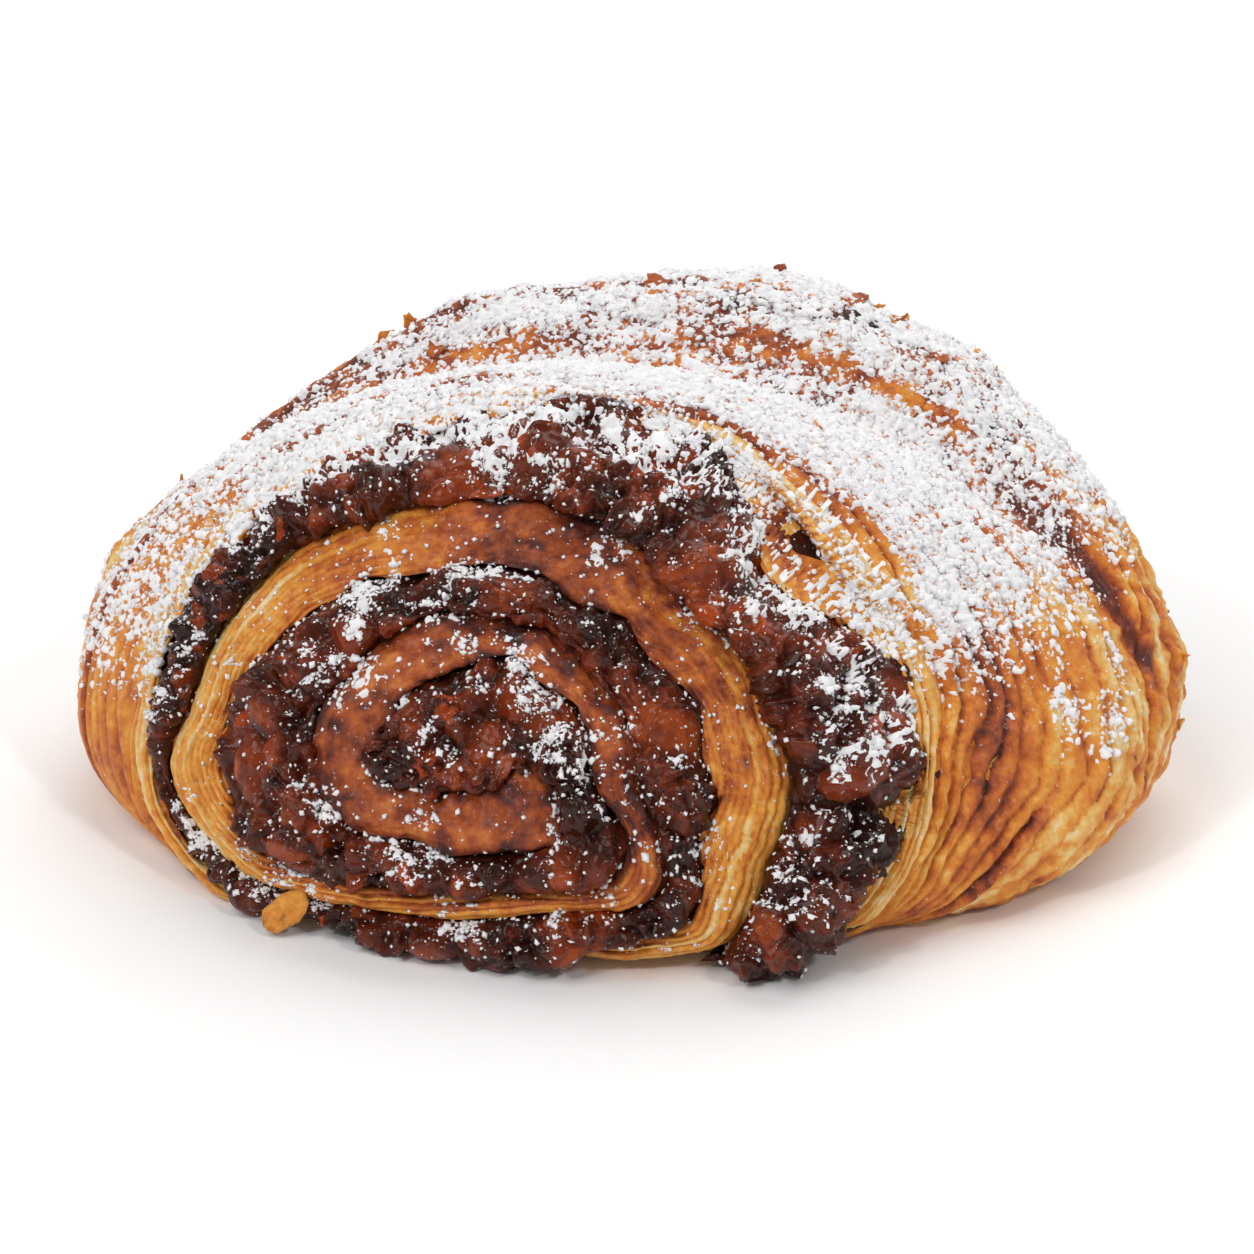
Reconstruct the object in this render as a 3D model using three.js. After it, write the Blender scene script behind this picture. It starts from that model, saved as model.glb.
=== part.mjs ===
// A cinnamon pastry: a sheet of laminated dough rolled up with a dark cinnamon filling, pressed
// across the top with a stick, and baked. Both ends of the roll show the swirl.
//
// The roll runs along Y, its shown end towards -Y. X is to the right of that end and Z is up.
// Millimetres. The origin is the middle of the underside.
import * as THREE from 'three';

// ---- The outside of the roll ------------------------------------------------------------------
// It is given at a few stations from the front face (0) to the back face (1). The first ridge is
// the rim of the shown end, the valley at 0.4 is the mark of the stick, and the lobe at 0.6 is the
// highest part.
const STATIONS = [0.0, 0.10, 0.24, 0.40, 0.62, 0.82, 1.0];
const TOP = [51.0, 51.5, 50.2, 47.5, 54.0, 52.5, 46.0];      // height of the crown
const RIGHT = [44.0, 51.0, 59.0, 60.5, 60.0, 55.0, 44.0];    // half width to the right
const LEFT = [45.5, 54.0, 59.0, 60.0, 58.0, 52.5, 43.0];     // half width to the left
const MIDDLE = [-3.0, -2.5, -2.0, -1.0, 0.0, 0.0, 0.0];      // where those half widths start
const LEAN_RIGHT = [0.0, 1.0, 3.0, 5.0, 6.0, 5.5, 3.0];      // how far the crown leans over
const WAIST = [17.0, 14.0, 13.0, 13.0, 13.0, 14.0, 17.0];    // height of the widest part
const FOOT = [3.0, 3.6, 5.0, 5.0, 5.0, 4.0, 3.0];            // squares the sides under the waist
const ROUND_LOW = 2.7;          // exponent of the lower outline: 2 is an ellipse, more is squarer
const ROUND_LEFT = 1.95;        // exponent of the upper outline on the left
const ROUND_RIGHT = 1.75;       // the same on the right, where the shoulder falls away sooner
const ROUND_RIGHT_FROM = 0.4;   // station from which it has that roundness
const LEAN_SCALE = 50;          // height at which the crown has leaned by LEAN_RIGHT

// Each end is a slope that leans back and curves away at its sides.
const FRONT = { y: -46.5, lean: 37, sweep: 13, dome: 5, middle: -3 };
const BACK = { y: 46.5, lean: -20, sweep: -12, dome: -5, middle: 0 };
const FACE_HEIGHT = 51;         // height at which a face has leaned by its lean
const LEAN_POWER = 1.8;         // a face is steep at the table and leans more and more
const LEAN_LIMIT = 1.3;         // share of FACE_HEIGHT past which it leans no more
const FACE_HALF_WIDTH = 42;     // distance to the side at which it has curved by its sweep

// ---- The swirl --------------------------------------------------------------------------------
// Distances from the swirl's centre, as shares of the way to the outside, at each quarter turn:
// right, under, left, over, and round again.
const DOUGH_IN = [0.16, 0.19, 0.24, 0.25, 0.34, 0.67, 0.71, 0.51, 0.55, 0.93, 0.93, 0.90, 0.95, 0.97];
const DOUGH_OUT = [0.16, 0.44, 0.415, 0.38, 0.44, 0.78, 0.85, 0.676, 0.72, 1, 1, 1, 1, 1];
const TURNS = DOUGH_IN.map((_, quarter) => quarter);
const CENTRE = { x: -4, z: 23, rise: 3 };     // from MIDDLE, above the table, and its rise to the back
const QUARTER = Math.PI / 2;
const COARSE = 2 / 9;           // 20 degrees, as a share of a quarter turn, for the tight middle
const FINE = 1 / 9;             // 10 degrees, for the rest
const FINE_FROM = 2;            // quarter turn at which the fine steps start
const BLOB_START = -2;          // the filling starts as a blob inside the dough's first half turn
const DOUGH_END = 2 + 97 / 9;   // the dough's tail, tucked under the roll
const FILLING_END = 2 + 60 / 9; // where dough and tail pinch the filling off
const SKIN_FROM = 9;            // quarter turn from which the dough is the outside
const TAIL_SHARE = 0.985;
const GAP = 0.3;                // clearance between dough and filling

// Rows of points along the roll, closer at the ridges.
const ROWS = [0, 0.06, 0.13, 0.21, 0.30, 0.38, 0.45, 0.53, 0.63, 0.76, 0.89, 1];

// ---- The ends of the layers -------------------------------------------------------------------
const DOUGH_EDGE = [0.3, 0.7];              // points across the dough's cut edge, as shares
const DOUGH_HOLLOW = 1.8;                   // depth of the dough between bulges of filling
const RIM_BULGE = 1.2;                      // roundness of the outer layer's edge
const FILLING_EDGE = [0.1, 0.36, 0.64, 0.9];
const FILLING_BULGE = 3.0;                  // how far the filling swells out of the swirl
const FULL_SWELL = 6;                       // thickness from which it swells by all of that
const CRAG = 1.5;                           // height of its lumps
const SPILL = 4.5;                          // how much further it has spilt out on the right
const SPILL_AT = 7.75;                      // quarter turn where it has spilt furthest
const SPILL_WIDTH = 0.6;
// Its lumps are two waves, each with phases per quarter turn and per share of the thickness.
const LUMPS = { share: 0.55, quarter: 11.3, across: 4, crossQuarter: 6.1, crossAcross: -9 };
const SMALL_LUMPS = { share: 0.45, quarter: 23.7, across: 17 };

// ---- Relief of the crust ----------------------------------------------------------------------
const CRUST_FROM = [9.7, 10.0];   // quarter turns over which the relief starts, clear of the table
const CRUST_TO = [12.0, 12.25];   // and ends
const LAYER_EDGE = 0.6;         // height of the uneven layer edges
const LAYER_WAVES = 41;         // their phase from the front face to the back, in radians
const LAYER_WANDER = { by: 2.2, per: 3.1 };       // how they wander, with the quarter turn
const LAYER_PATCHES = { quarter: 5.3, row: 9 };   // phases of the patches where they stand up
const SLIT = { quarter: 11.5, width: 0.35, row: 0.40, length: 0.07, depth: 2.5 };
const THINNEST = 0.8;           // dough left under the deepest relief
const BLISTERS = [              // places where a layer has lifted or broken
  { quarter: 10.66, row: 0.63, height: 2.0, width: 0.09, length: 0.06 },
  { quarter: 10.78, row: 0.53, height: 1.4, width: 0.10, length: 0.06 },
  { quarter: 11.10, row: 0.76, height: 1.5, width: 0.10, length: 0.07 },
  { quarter: 11.36, row: 0.76, height: 1.4, width: 0.10, length: 0.07 },
  { quarter: 11.78, row: 0.63, height: -1.2, width: 0.10, length: 0.07 },
  { quarter: 11.89, row: 0.63, height: 1.2, width: 0.08, length: 0.07 },
  { quarter: 10.22, row: 0.30, height: 1.2, width: 0.12, length: 0.06 },
  { quarter: 10.33, row: 0.76, height: 1.3, width: 0.10, length: 0.07 },
];

const smooth = THREE.MathUtils.smoothstep;
const bell = (offset, width) => Math.exp(-((offset / width) ** 2));

/** A smooth curve through hand-set values, as Hermite spans with their slopes from neighbours. */
function curve(x, places, values) {
  const last = places.length - 1;
  const slope = (i) => {
    if (i === 0) return (values[1] - values[0]) / (places[1] - places[0]);
    if (i === last) return (values[last] - values[last - 1]) / (places[last] - places[last - 1]);
    const before = places[i] - places[i - 1];
    const after = places[i + 1] - places[i];
    const rise = (values[i + 1] - values[i]) / after;
    const climb = (values[i] - values[i - 1]) / before;
    return (rise * before + climb * after) / (before + after);
  };
  let i = 0;
  while (i < last - 1 && places[i + 1] <= x) i += 1;
  const span = places[i + 1] - places[i];
  const t = THREE.MathUtils.clamp((x - places[i]) / span, 0, 1);
  return (2 * t ** 3 - 3 * t ** 2 + 1) * values[i] + (t ** 3 - 2 * t ** 2 + t) * span * slope(i)
    + (3 * t ** 2 - 2 * t ** 3) * values[i + 1] + (t ** 3 - t ** 2) * span * slope(i + 1);
}

const along = (row, values) => curve(row, STATIONS, values);
const doughIn = (quarter) => curve(quarter, TURNS, DOUGH_IN);
const doughOut = (quarter) => curve(quarter, TURNS, DOUGH_OUT);

/** The outside of the roll at an angle about the swirl's centre, flat where it meets the table. */
function outline(angle, row) {
  const c = Math.cos(angle);
  const s = Math.sin(angle);
  const waist = along(row, WAIST);
  const upper = s >= 0;
  const roundRight = THREE.MathUtils.lerp(ROUND_LEFT, ROUND_RIGHT, Math.min(row / ROUND_RIGHT_FROM, 1));
  const roundUpper = c > 0 ? roundRight : ROUND_LEFT;
  const power = upper ? roundUpper : ROUND_LOW;
  const reach = (Math.abs(c) ** power + Math.abs(s) ** power) ** (-1 / power);
  const height = upper ? along(row, TOP) - waist : waist + along(row, FOOT);
  const width = along(row, c > 0 ? RIGHT : LEFT);
  const z = waist + height * s * reach;
  const lean = along(row, LEAN_RIGHT) * THREE.MathUtils.clamp(z / LEAN_SCALE, 0, 2) ** 2;
  return { x: along(row, MIDDLE) + width * c * reach + lean, z: Math.max(z, 0) };
}

/** A point at a share of the way from the swirl's centre to the outside, in one cross-section. */
function across(share, angle, row) {
  const edge = outline(angle, row);
  const x = along(row, MIDDLE) + CENTRE.x;
  const z = CENTRE.z + CENTRE.rise * row;
  return { x: x + share * (edge.x - x), z: z + share * (edge.z - z), reach: Math.hypot(edge.x - x, edge.z - z) };
}

/** Where a face of the roll lies at one share and angle. */
function faceY(face, share, angle, row) {
  const { x, z } = across(share, angle, row);
  return face.y + face.lean * THREE.MathUtils.clamp(z / FACE_HEIGHT, 0, LEAN_LIMIT) ** LEAN_POWER
    + face.sweep * ((x - face.middle) / FACE_HALF_WIDTH) ** 2 - face.dome * (1 - share ** 2);
}

/** Length of the roll between its faces, along a layer. */
function length(share, quarter) {
  const angle = -quarter * QUARTER;
  return faceY(BACK, share, angle, 1) - faceY(FRONT, share, angle, 0);
}

/** The point of the roll at a share, a quarter turn and a row. Rows past 0 and 1 stand proud. */
function place(share, quarter, row) {
  const angle = -quarter * QUARTER;
  const { x, z } = across(share, angle, row);
  const y = faceY(FRONT, share, angle, 0) + row * length(share, quarter);
  return new THREE.Vector3(x, y, Math.max(z, 0));
}

/** The row that stands proud of a face, 0 or 1, by a height. */
const proud = (face, height, share, quarter) => (
  face + (face === 0 ? -1 : 1) * height / length(share, quarter));

/** Height of the crust's relief, none near the table. */
function relief(quarter, row) {
  const wander = LAYER_WANDER.by * Math.sin(LAYER_WANDER.per * quarter);
  const patches = Math.sin(LAYER_PATCHES.quarter * quarter + LAYER_PATCHES.row * row);
  const layers = LAYER_EDGE * Math.sin(LAYER_WAVES * row + wander) * patches * Math.sin(Math.PI * row) ** 0.5;
  const slit = -SLIT.depth * bell(quarter - SLIT.quarter, SLIT.width) * bell(row - SLIT.row, SLIT.length);
  const lifted = BLISTERS.reduce((sum, b) => (
    sum + b.height * bell(quarter - b.quarter, b.width) * bell(row - b.row, b.length)), 0);
  const clearOfTable = smooth(quarter, ...CRUST_FROM) * (1 - smooth(quarter, ...CRUST_TO));
  return (layers + slit + lifted) * clearOfTable;
}

/** Lumps of the filling, between -1 and 1. */
const lump = (quarter, share) => LUMPS.share * Math.sin(LUMPS.quarter * quarter + LUMPS.across * share)
  * Math.cos(LUMPS.crossQuarter * quarter + LUMPS.crossAcross * share)
  + SMALL_LUMPS.share * Math.sin(SMALL_LUMPS.quarter * quarter + SMALL_LUMPS.across * share);

/**
 * The closed solid between rings of points, drawn to a line where a ring has no thickness. The two
 * sides of a layer have the same diagonals, so that neighbouring layers lie flat on each other.
 */
function sweep(rings) {
  const positions = [];
  const known = new Map();
  const index = [];
  const number = (p) => {
    const key = p.toArray().map((value) => value.toFixed(4)).join();
    if (!known.has(key)) {
      known.set(key, positions.length / 3);
      positions.push(...p);
    }
    return known.get(key);
  };
  const triangle = (a, b, c) => {
    if (a !== b && b !== c && c !== a) index.push(a, b, c);
  };
  const numbered = rings.map((ring) => ring.map(number));
  for (let i = 0; i < numbered.length - 1; i += 1) {
    const here = numbered[i];
    const next = numbered[i + 1];
    for (let j = 0; j < here.length; j += 1) {
      const k = (j + 1) % here.length;
      const homeward = j > ROWS.length;
      triangle(here[j], next[homeward ? j : k], here[k]);
      triangle(here[homeward ? k : j], next[j], next[k]);
    }
  }
  const geometry = new THREE.BufferGeometry();
  geometry.setAttribute('position', new THREE.Float32BufferAttribute(positions, 3));
  geometry.setIndex(index);
  return geometry;
}

/** Quarter turns of the rings from one end of a layer to the other. */
function quarters(start, end) {
  const list = [];
  for (let q = start; q < end + 1e-6; q += q < FINE_FROM - 1e-6 ? COARSE : FINE) list.push(q);
  return list;
}

/** Out along the outer side of a layer, over its back edge, home along the inner side. */
function ring(outer, inner, edge) {
  const backRows = [...ROWS].reverse();
  return [
    ...ROWS.map(outer),
    ...[...edge].reverse().map((share) => share.at(1)),
    ...backRows.map(inner),
    ...edge.map((share) => share.at(0)),
  ];
}

function doughRing(quarter) {
  const isEnd = quarter > DOUGH_END - 1e-6;
  const low = isEnd ? TAIL_SHARE : doughIn(quarter);
  const high = isEnd ? TAIL_SHARE : doughOut(quarter);
  const thick = high - low > 1e-6;
  const skin = smooth(quarter, SKIN_FROM - 0.1, SKIN_FROM + 0.1);
  const bulge = thick ? THREE.MathUtils.lerp(-DOUGH_HOLLOW, RIM_BULGE, skin) : 0;
  const outer = (row) => {
    if (isEnd) return place(high, quarter, row);
    const { reach } = across(1, -quarter * QUARTER, row);
    const raised = Math.max(skin * relief(quarter, row), Math.min(THINNEST - (high - low) * reach, 0));
    return place(high + raised / reach, quarter, row);
  };
  const inner = (row) => place(low, quarter, row);
  const edge = DOUGH_EDGE.map((t) => [0, 1].map((face) => {
    const share = THREE.MathUtils.lerp(low, high, t);
    return place(share, quarter, proud(face, bulge, share, quarter));
  }));
  return ring(outer, inner, edge);
}

function fillingRing(quarter) {
  const isEnd = quarter > FILLING_END - 1e-6;
  const isStart = quarter < BLOB_START + 1e-6;
  const clearance = (at, row) => GAP / across(1, -at * QUARTER, row).reach;
  const outerShare = (row) => doughIn(quarter + 4) - clearance(quarter, row);
  // Inside the dough's first half turn the blob's lower side runs back under the dough's tip.
  const lowerQuarter = quarter < 0 ? -quarter : quarter;
  const innerQuarter = Math.abs(quarter) < 1e-6 ? -COARSE / 4 : lowerQuarter;
  const innerShare = (row) => {
    if (Math.abs(quarter) < 1e-6) return doughIn(0);
    if (quarter < 0) return doughIn(-quarter) - clearance(lowerQuarter, row);
    return doughOut(quarter) + clearance(quarter, row);
  };
  const pinched = (row) => (outerShare(row) + innerShare(row)) / 2;
  const outer = (row) => place(isEnd ? pinched(row) : outerShare(row), quarter, row);
  const inner = (row) => {
    if (isEnd) return place(pinched(row), quarter, row);
    return isStart ? outer(row) : place(innerShare(row), innerQuarter, row);
  };
  const spill = SPILL * bell(quarter - SPILL_AT, SPILL_WIDTH);
  const edge = FILLING_EDGE.map((t) => [0, 1].map((face) => {
    const width = inner(face).distanceTo(outer(face));
    const swell = Math.min(width / FULL_SWELL, 1) * (4 * t * (1 - t)) ** 0.5;
    const bulge = swell * (FILLING_BULGE + spill + CRAG * lump(quarter + face, t));
    const row = proud(face, bulge, doughIn(quarter + 4), quarter);
    return inner(row).lerp(outer(row), t);
  }));
  return ring(outer, inner, edge);
}

const dough = new THREE.Mesh(
  sweep(quarters(0, DOUGH_END).map(doughRing)),
  new THREE.MeshStandardMaterial({ color: 0xc58a4c, roughness: 0.6, metalness: 0 }),
);
dough.name = 'dough';

const filling = new THREE.Mesh(
  sweep(quarters(BLOB_START, FILLING_END).map(fillingRing)),
  new THREE.MeshStandardMaterial({ color: 0x4a241a, roughness: 0.35, metalness: 0 }),
);
filling.name = 'cinnamon_filling';

// The pastry stands on the table with the middle of its underside at the origin.
const pastry = new THREE.Group();
pastry.add(dough, filling);
const box = new THREE.Box3().setFromObject(pastry);
const middle = box.getCenter(new THREE.Vector3());
pastry.position.set(-middle.x, -middle.y, -box.min.z);

export default pastry;
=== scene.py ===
"""Cinnamon pastry: a sheet of laminated dough rolled up with a dark cinnamon filling, pressed across
the top with a stick, baked and dusted with icing sugar.

The roll runs along Y, its shown end towards -Y. A place on it is given by three numbers: the quarter
turn (0 right, 1 under, 2 left, 3 over, and on round the swirl), the share of the way from the swirl's
centre to the outside, and the row along the roll, from 0 at the front face to 1 at the back face.
Shapes are worked out in millimetres and put into the meshes in metres.
"""
from functools import cache

import bpy
import numpy as np
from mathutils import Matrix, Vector


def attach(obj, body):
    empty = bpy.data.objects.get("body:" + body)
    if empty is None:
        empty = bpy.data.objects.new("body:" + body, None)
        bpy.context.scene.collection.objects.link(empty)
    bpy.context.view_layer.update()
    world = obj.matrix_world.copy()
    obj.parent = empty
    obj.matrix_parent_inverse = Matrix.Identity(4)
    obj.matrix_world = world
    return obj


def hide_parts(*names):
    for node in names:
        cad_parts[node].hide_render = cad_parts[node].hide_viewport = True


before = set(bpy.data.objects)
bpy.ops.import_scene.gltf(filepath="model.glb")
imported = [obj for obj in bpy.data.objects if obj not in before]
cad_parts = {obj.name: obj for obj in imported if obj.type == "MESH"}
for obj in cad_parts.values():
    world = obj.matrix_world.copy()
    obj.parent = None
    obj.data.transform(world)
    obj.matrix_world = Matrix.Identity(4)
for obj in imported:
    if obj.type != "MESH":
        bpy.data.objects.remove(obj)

bl_info = {
    "name": "Cinnamon Pastry",
    "version": (1, 0, 0),
    "blender": (4, 5, 0),
    "location": "3D View > Sidebar > Pastry",
    "description": "A rolled cinnamon pastry with laminated dough, filling and icing sugar",
    "category": "Add Mesh",
}

MM = 0.001
BODY = "root"
QUARTER = np.pi / 2

# ---- The shape of the roll, as in the CAD part, in millimetres ---------------------------------
SHIFT = np.array([0.455, -0.560, 0.0])      # puts the middle of the underside at the origin
STATIONS = np.array([0.0, 0.10, 0.24, 0.40, 0.62, 0.82, 1.0])   # rows where the outside is given
# At each of these rows: height of the crown, reach to the right and to the left of the middle, the
# middle, how far the crown leans right, height of the widest place, and reach of its curve below the table.
TOP = np.array([51.0, 51.5, 50.2, 47.5, 54.0, 52.5, 46.0])
RIGHT = np.array([44.0, 51.0, 59.0, 60.5, 60.0, 55.0, 44.0])
LEFT = np.array([45.5, 54.0, 59.0, 60.0, 58.0, 52.5, 43.0])
MIDDLE = np.array([-3.0, -2.5, -2.0, -1.0, 0.0, 0.0, 0.0])
LEAN_RIGHT = np.array([0.0, 1.0, 3.0, 5.0, 6.0, 5.5, 3.0])
WAIST = np.array([17.0, 14.0, 13.0, 13.0, 13.0, 14.0, 17.0])
FOOT = np.array([3.0, 3.6, 5.0, 5.0, 5.0, 4.0, 3.0])
# Powers of the superellipse below the waist, above it on the left, and above it on the right from a row
# on, and the height where the crown's lean is full.
ROUND_LOW, ROUND_LEFT, ROUND_RIGHT, ROUND_RIGHT_FROM, LEAN_SCALE = 2.7, 1.95, 1.75, 0.4, 50
# The two faces: place along the roll, lean over the face's height, sweep at its half width, dome, and
# the middle of the sweep.
FRONT = {"row": 0, "y": -46.5, "lean": 37, "sweep": 13, "dome": 5, "middle": -3}
BACK = {"row": 1, "y": 46.5, "lean": -20, "sweep": -12, "dome": -5, "middle": 0}
FACE_HEIGHT, FACE_HALF_WIDTH, LEAN_POWER, LEAN_LIMIT = 51, 42, 1.8, 1.3
# The inner and outer side of the dough at each whole quarter turn, as shares of the way to the outside.
DOUGH_IN = np.array([0.13, 0.19, 0.24, 0.25, 0.34, 0.67, 0.71, 0.51, 0.55, 0.93, 0.93, 0.90, 0.95, 0.97])
DOUGH_OUT = np.array([0.23, 0.44, 0.415, 0.38, 0.44, 0.78, 0.85, 0.676, 0.72, 1, 1, 1, 1, 1])
TURNS = np.arange(14)
CENTRE_X, CENTRE_Z, CENTRE_RISE = -4, 23, 3     # the swirl's centre, which rises towards the back
BLOB_START = -2             # quarter turn where the blob of filling at the centre starts
DOUGH_END = 2 + 97 / 9      # quarter turns where the dough and the filling end
FILLING_END = 2 + 60 / 9
SKIN_FROM = 9               # quarter turn from which the dough is the outside of the roll
TAIL_SHARE, TAIL_TAPER = 0.985, 1 / 9       # share where the dough closes, and turns over which layers thin
GAP = 0.3                   # between the dough and the filling
SHOULDER, INNER_SHOULDER = 1.3, 0.8         # radius of the dough's edges at the rim and inside the swirl
DOUGH_CROWN = 1.2           # roundness of the dough's edge inside the swirl
PROUD_AT = (0, 4, 5, 6.4, 7, 8, 8.8, 9.1, 13)               # how far the edge stands out of the face,
PROUD = (0.9, 0.9, 0.5, 0.2, -0.5, 0.3, 0.6, 1.2, 1.2)      # by quarter turn
TABLE_RECESS = 5.0          # how far the edge is drawn back where the filling hangs over it
FILLING_BULGE, FULL_SWELL = 3.2, 6          # the filling's swell, and the thickness where it is full
SPILL, SPILL_AT, SPILL_WIDTH = 4.5, 7.75, 0.6       # more swell on the right: height, quarter, spread
CRUST_FROM, CRUST_TO = (9.7, 10.0), (12.0, 12.25)   # quarter turns where the crust's dents fade in and out
SLIT = (11.5, 0.40, -1.7, 0.35, 0.07)       # the press's slit on the right, in the terms of the blisters
BLISTERS = (    # quarter, row, height, and their spread over the quarter and the row
    (10.66, 0.63, 2.0, 0.09, 0.06), (10.78, 0.53, 1.4, 0.10, 0.06), (11.10, 0.76, 1.5, 0.10, 0.07),
    (11.36, 0.76, 1.4, 0.10, 0.07), (11.78, 0.63, -1.2, 0.10, 0.07), (11.89, 0.63, 1.2, 0.08, 0.07),
    (10.22, 0.30, 1.2, 0.12, 0.06), (10.33, 0.76, 1.3, 0.10, 0.07),
)


# ---- Small formulas ----------------------------------------------------------------------------
def smooth(x, start, end):
    """0 before start and 1 after end, with 3t squared minus 2t cubed between them."""
    t = np.clip((x - start) / (end - start), 0, 1)
    return t * t * (3 - 2 * t)


def bell(offset, width):
    """e to the minus square of offset over width."""
    return np.exp(-((offset / width) ** 2))


def mix(a, b, t):
    """a plus t times the way from a to b."""
    return a + (b - a) * t


def curve(x, places, values):
    """Hermite spans through the values, with slopes weighted from both neighbours."""
    places, values = np.asarray(places, float), np.asarray(values, float)
    slopes = np.gradient(values, places)
    i = np.clip(np.searchsorted(places, x, side="right") - 1, 0, len(places) - 2)
    span = places[i + 1] - places[i]
    t = np.clip((x - places[i]) / span, 0, 1)
    return ((2 * t**3 - 3 * t**2 + 1) * values[i] + (t**3 - 2 * t**2 + t) * span * slopes[i]
            + (3 * t**2 - 2 * t**3) * values[i + 1] + (t**3 - t**2) * span * slopes[i + 1])


def vectors(x, y, z):
    """Three numbers at each place as one array of vectors."""
    return np.stack(np.broadcast_arrays(x, y, z), axis=-1)


def scramble(x, y, z, seed):
    """A number from 0 to 1 for each whole-number place: products with large primes, mixed by shifts."""
    h = (x.astype(np.int64) * 374761393 + y.astype(np.int64) * 668265263
         + z.astype(np.int64) * 1442695041 + seed * 1274126177).astype(np.uint32)
    h = (h ^ (h >> 15)) * np.uint32(2246822519)
    h = (h ^ (h >> 13)) * np.uint32(3266489917)
    return (h ^ (h >> 16)).astype(np.float64) / (2**32 - 1)


def noise(p, size, seed, octaves=1):
    """Value noise from -1 to 1: scrambled numbers on a lattice of the size, smoothly blended, with
    octaves of half the size and half the height added."""
    total, height = 0.0, 1.0
    for octave in range(octaves):
        q = np.asarray(p) / (size / 2**octave)
        cell = np.floor(q)
        t = q - cell
        t = t * t * (3 - 2 * t)
        i, j, k = (cell[..., axis].astype(np.int64) for axis in range(3))
        value = 0.0
        for dx in (0, 1):
            for dy in (0, 1):
                for dz in (0, 1):
                    weight = (np.abs(1 - dx - t[..., 0]) * np.abs(1 - dy - t[..., 1])
                              * np.abs(1 - dz - t[..., 2]))
                    value = value + weight * scramble(i + dx, j + dy, k + dz, seed + octave)
        total = total + height * (2 * value - 1)
        height *= 0.5
    return total / (2 - 2 * height)


def noise_vectors(p, size, seed):
    """Three noises of two octaves, each with a seed of its own, as one vector at each place."""
    return np.stack([noise(p, size, seed + i, 2) for i in range(3)], axis=-1)


def cells(p, size, seed):
    """Cell noise: one scattered point in each cube of the size. Gives the distance to the nearest
    point as a share of the size, the gap to the second nearest, and the nearest one's own number."""
    q = np.asarray(p) / size
    base = np.floor(q).astype(np.int64)
    first = np.full(q.shape[:-1], 9.0)
    second = first.copy()
    own = np.zeros_like(first)
    for step in np.ndindex(3, 3, 3):
        i, j, k = (base[..., axis] + step[axis] - 1 for axis in range(3))
        spot = np.stack([i + scramble(i, j, k, seed), j + scramble(i, j, k, seed + 1),
                         k + scramble(i, j, k, seed + 2)], axis=-1)
        distance = np.linalg.norm(spot - q, axis=-1)
        nearer = distance < first
        second = np.where(nearer, first, np.minimum(second, distance))
        own = np.where(nearer, scramble(i, j, k, seed + 3), own)
        first = np.minimum(first, distance)
    return first, second - first, own


# ---- The roll's space --------------------------------------------------------------------------
def along(row, values):
    """The curve through values given at STATIONS."""
    return curve(row, STATIONS, values)


def dough_in(quarter):
    """The curve through DOUGH_IN, which is the dough's inner side before it strays."""
    return curve(quarter, TURNS, DOUGH_IN)


def dough_out(quarter):
    """The curve through DOUGH_OUT, which is the dough's outer side before it strays."""
    return curve(quarter, TURNS, DOUGH_OUT)


def outline(angle, row):
    """The outside: a superellipse above the waist and a squarer one under it, cut off at the table,
    with the crown leaning right by the square of its height."""
    c, s = np.cos(angle), np.sin(angle)
    waist = along(row, WAIST)
    round_right = mix(ROUND_LEFT, ROUND_RIGHT, np.minimum(row / ROUND_RIGHT_FROM, 1))
    power = np.where(s >= 0, np.where(c > 0, round_right, ROUND_LEFT), ROUND_LOW)
    reach = (np.abs(c) ** power + np.abs(s) ** power) ** (-1 / power)
    height = np.where(s >= 0, along(row, TOP) - waist, waist + along(row, FOOT))
    z = waist + height * s * reach
    lean = along(row, LEAN_RIGHT) * np.clip(z / LEAN_SCALE, 0, 2) ** 2
    x = along(row, MIDDLE) + np.where(c > 0, along(row, RIGHT), along(row, LEFT)) * c * reach + lean
    return x, np.maximum(z, 0)


def across_section(share, angle, row):
    """The centre plus the share of the way to the outline, in one cross-section."""
    edge_x, edge_z = outline(angle, row)
    x = along(row, MIDDLE) + CENTRE_X
    z = CENTRE_Z + CENTRE_RISE * row
    return x + share * (edge_x - x), z + share * (edge_z - z)


def reach_at(quarter, row):
    """Distance from the swirl's centre to the outside."""
    edge_x, edge_z = outline(-quarter * QUARTER, row)
    return np.hypot(edge_x - along(row, MIDDLE) - CENTRE_X, edge_z - CENTRE_Z - CENTRE_RISE * row)


def face_y(face, share, quarter):
    """Where a face lies: a plane that leans by a power of the height, curved away at its sides by the
    square of the distance, and domed by one less the square of the share."""
    share, quarter = np.broadcast_arrays(share, quarter)
    x, z = across_section(share, -quarter * QUARTER, np.full(share.shape, float(face["row"])))
    return (face["y"] + face["lean"] * np.clip(z / FACE_HEIGHT, 0, LEAN_LIMIT) ** LEAN_POWER
            + face["sweep"] * ((x - face["middle"]) / FACE_HALF_WIDTH) ** 2
            - face["dome"] * (1 - share**2))


def place(share, quarter, row):
    """The point at a share, a quarter turn and a row, between the two faces."""
    share, quarter, row = np.broadcast_arrays(share, quarter, row)
    x, z = across_section(share, -quarter * QUARTER, row)
    front = face_y(FRONT, share, quarter)
    back = face_y(BACK, share, quarter)
    return vectors(x, mix(front, back, row), np.maximum(z, 0)) + SHIFT


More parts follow.
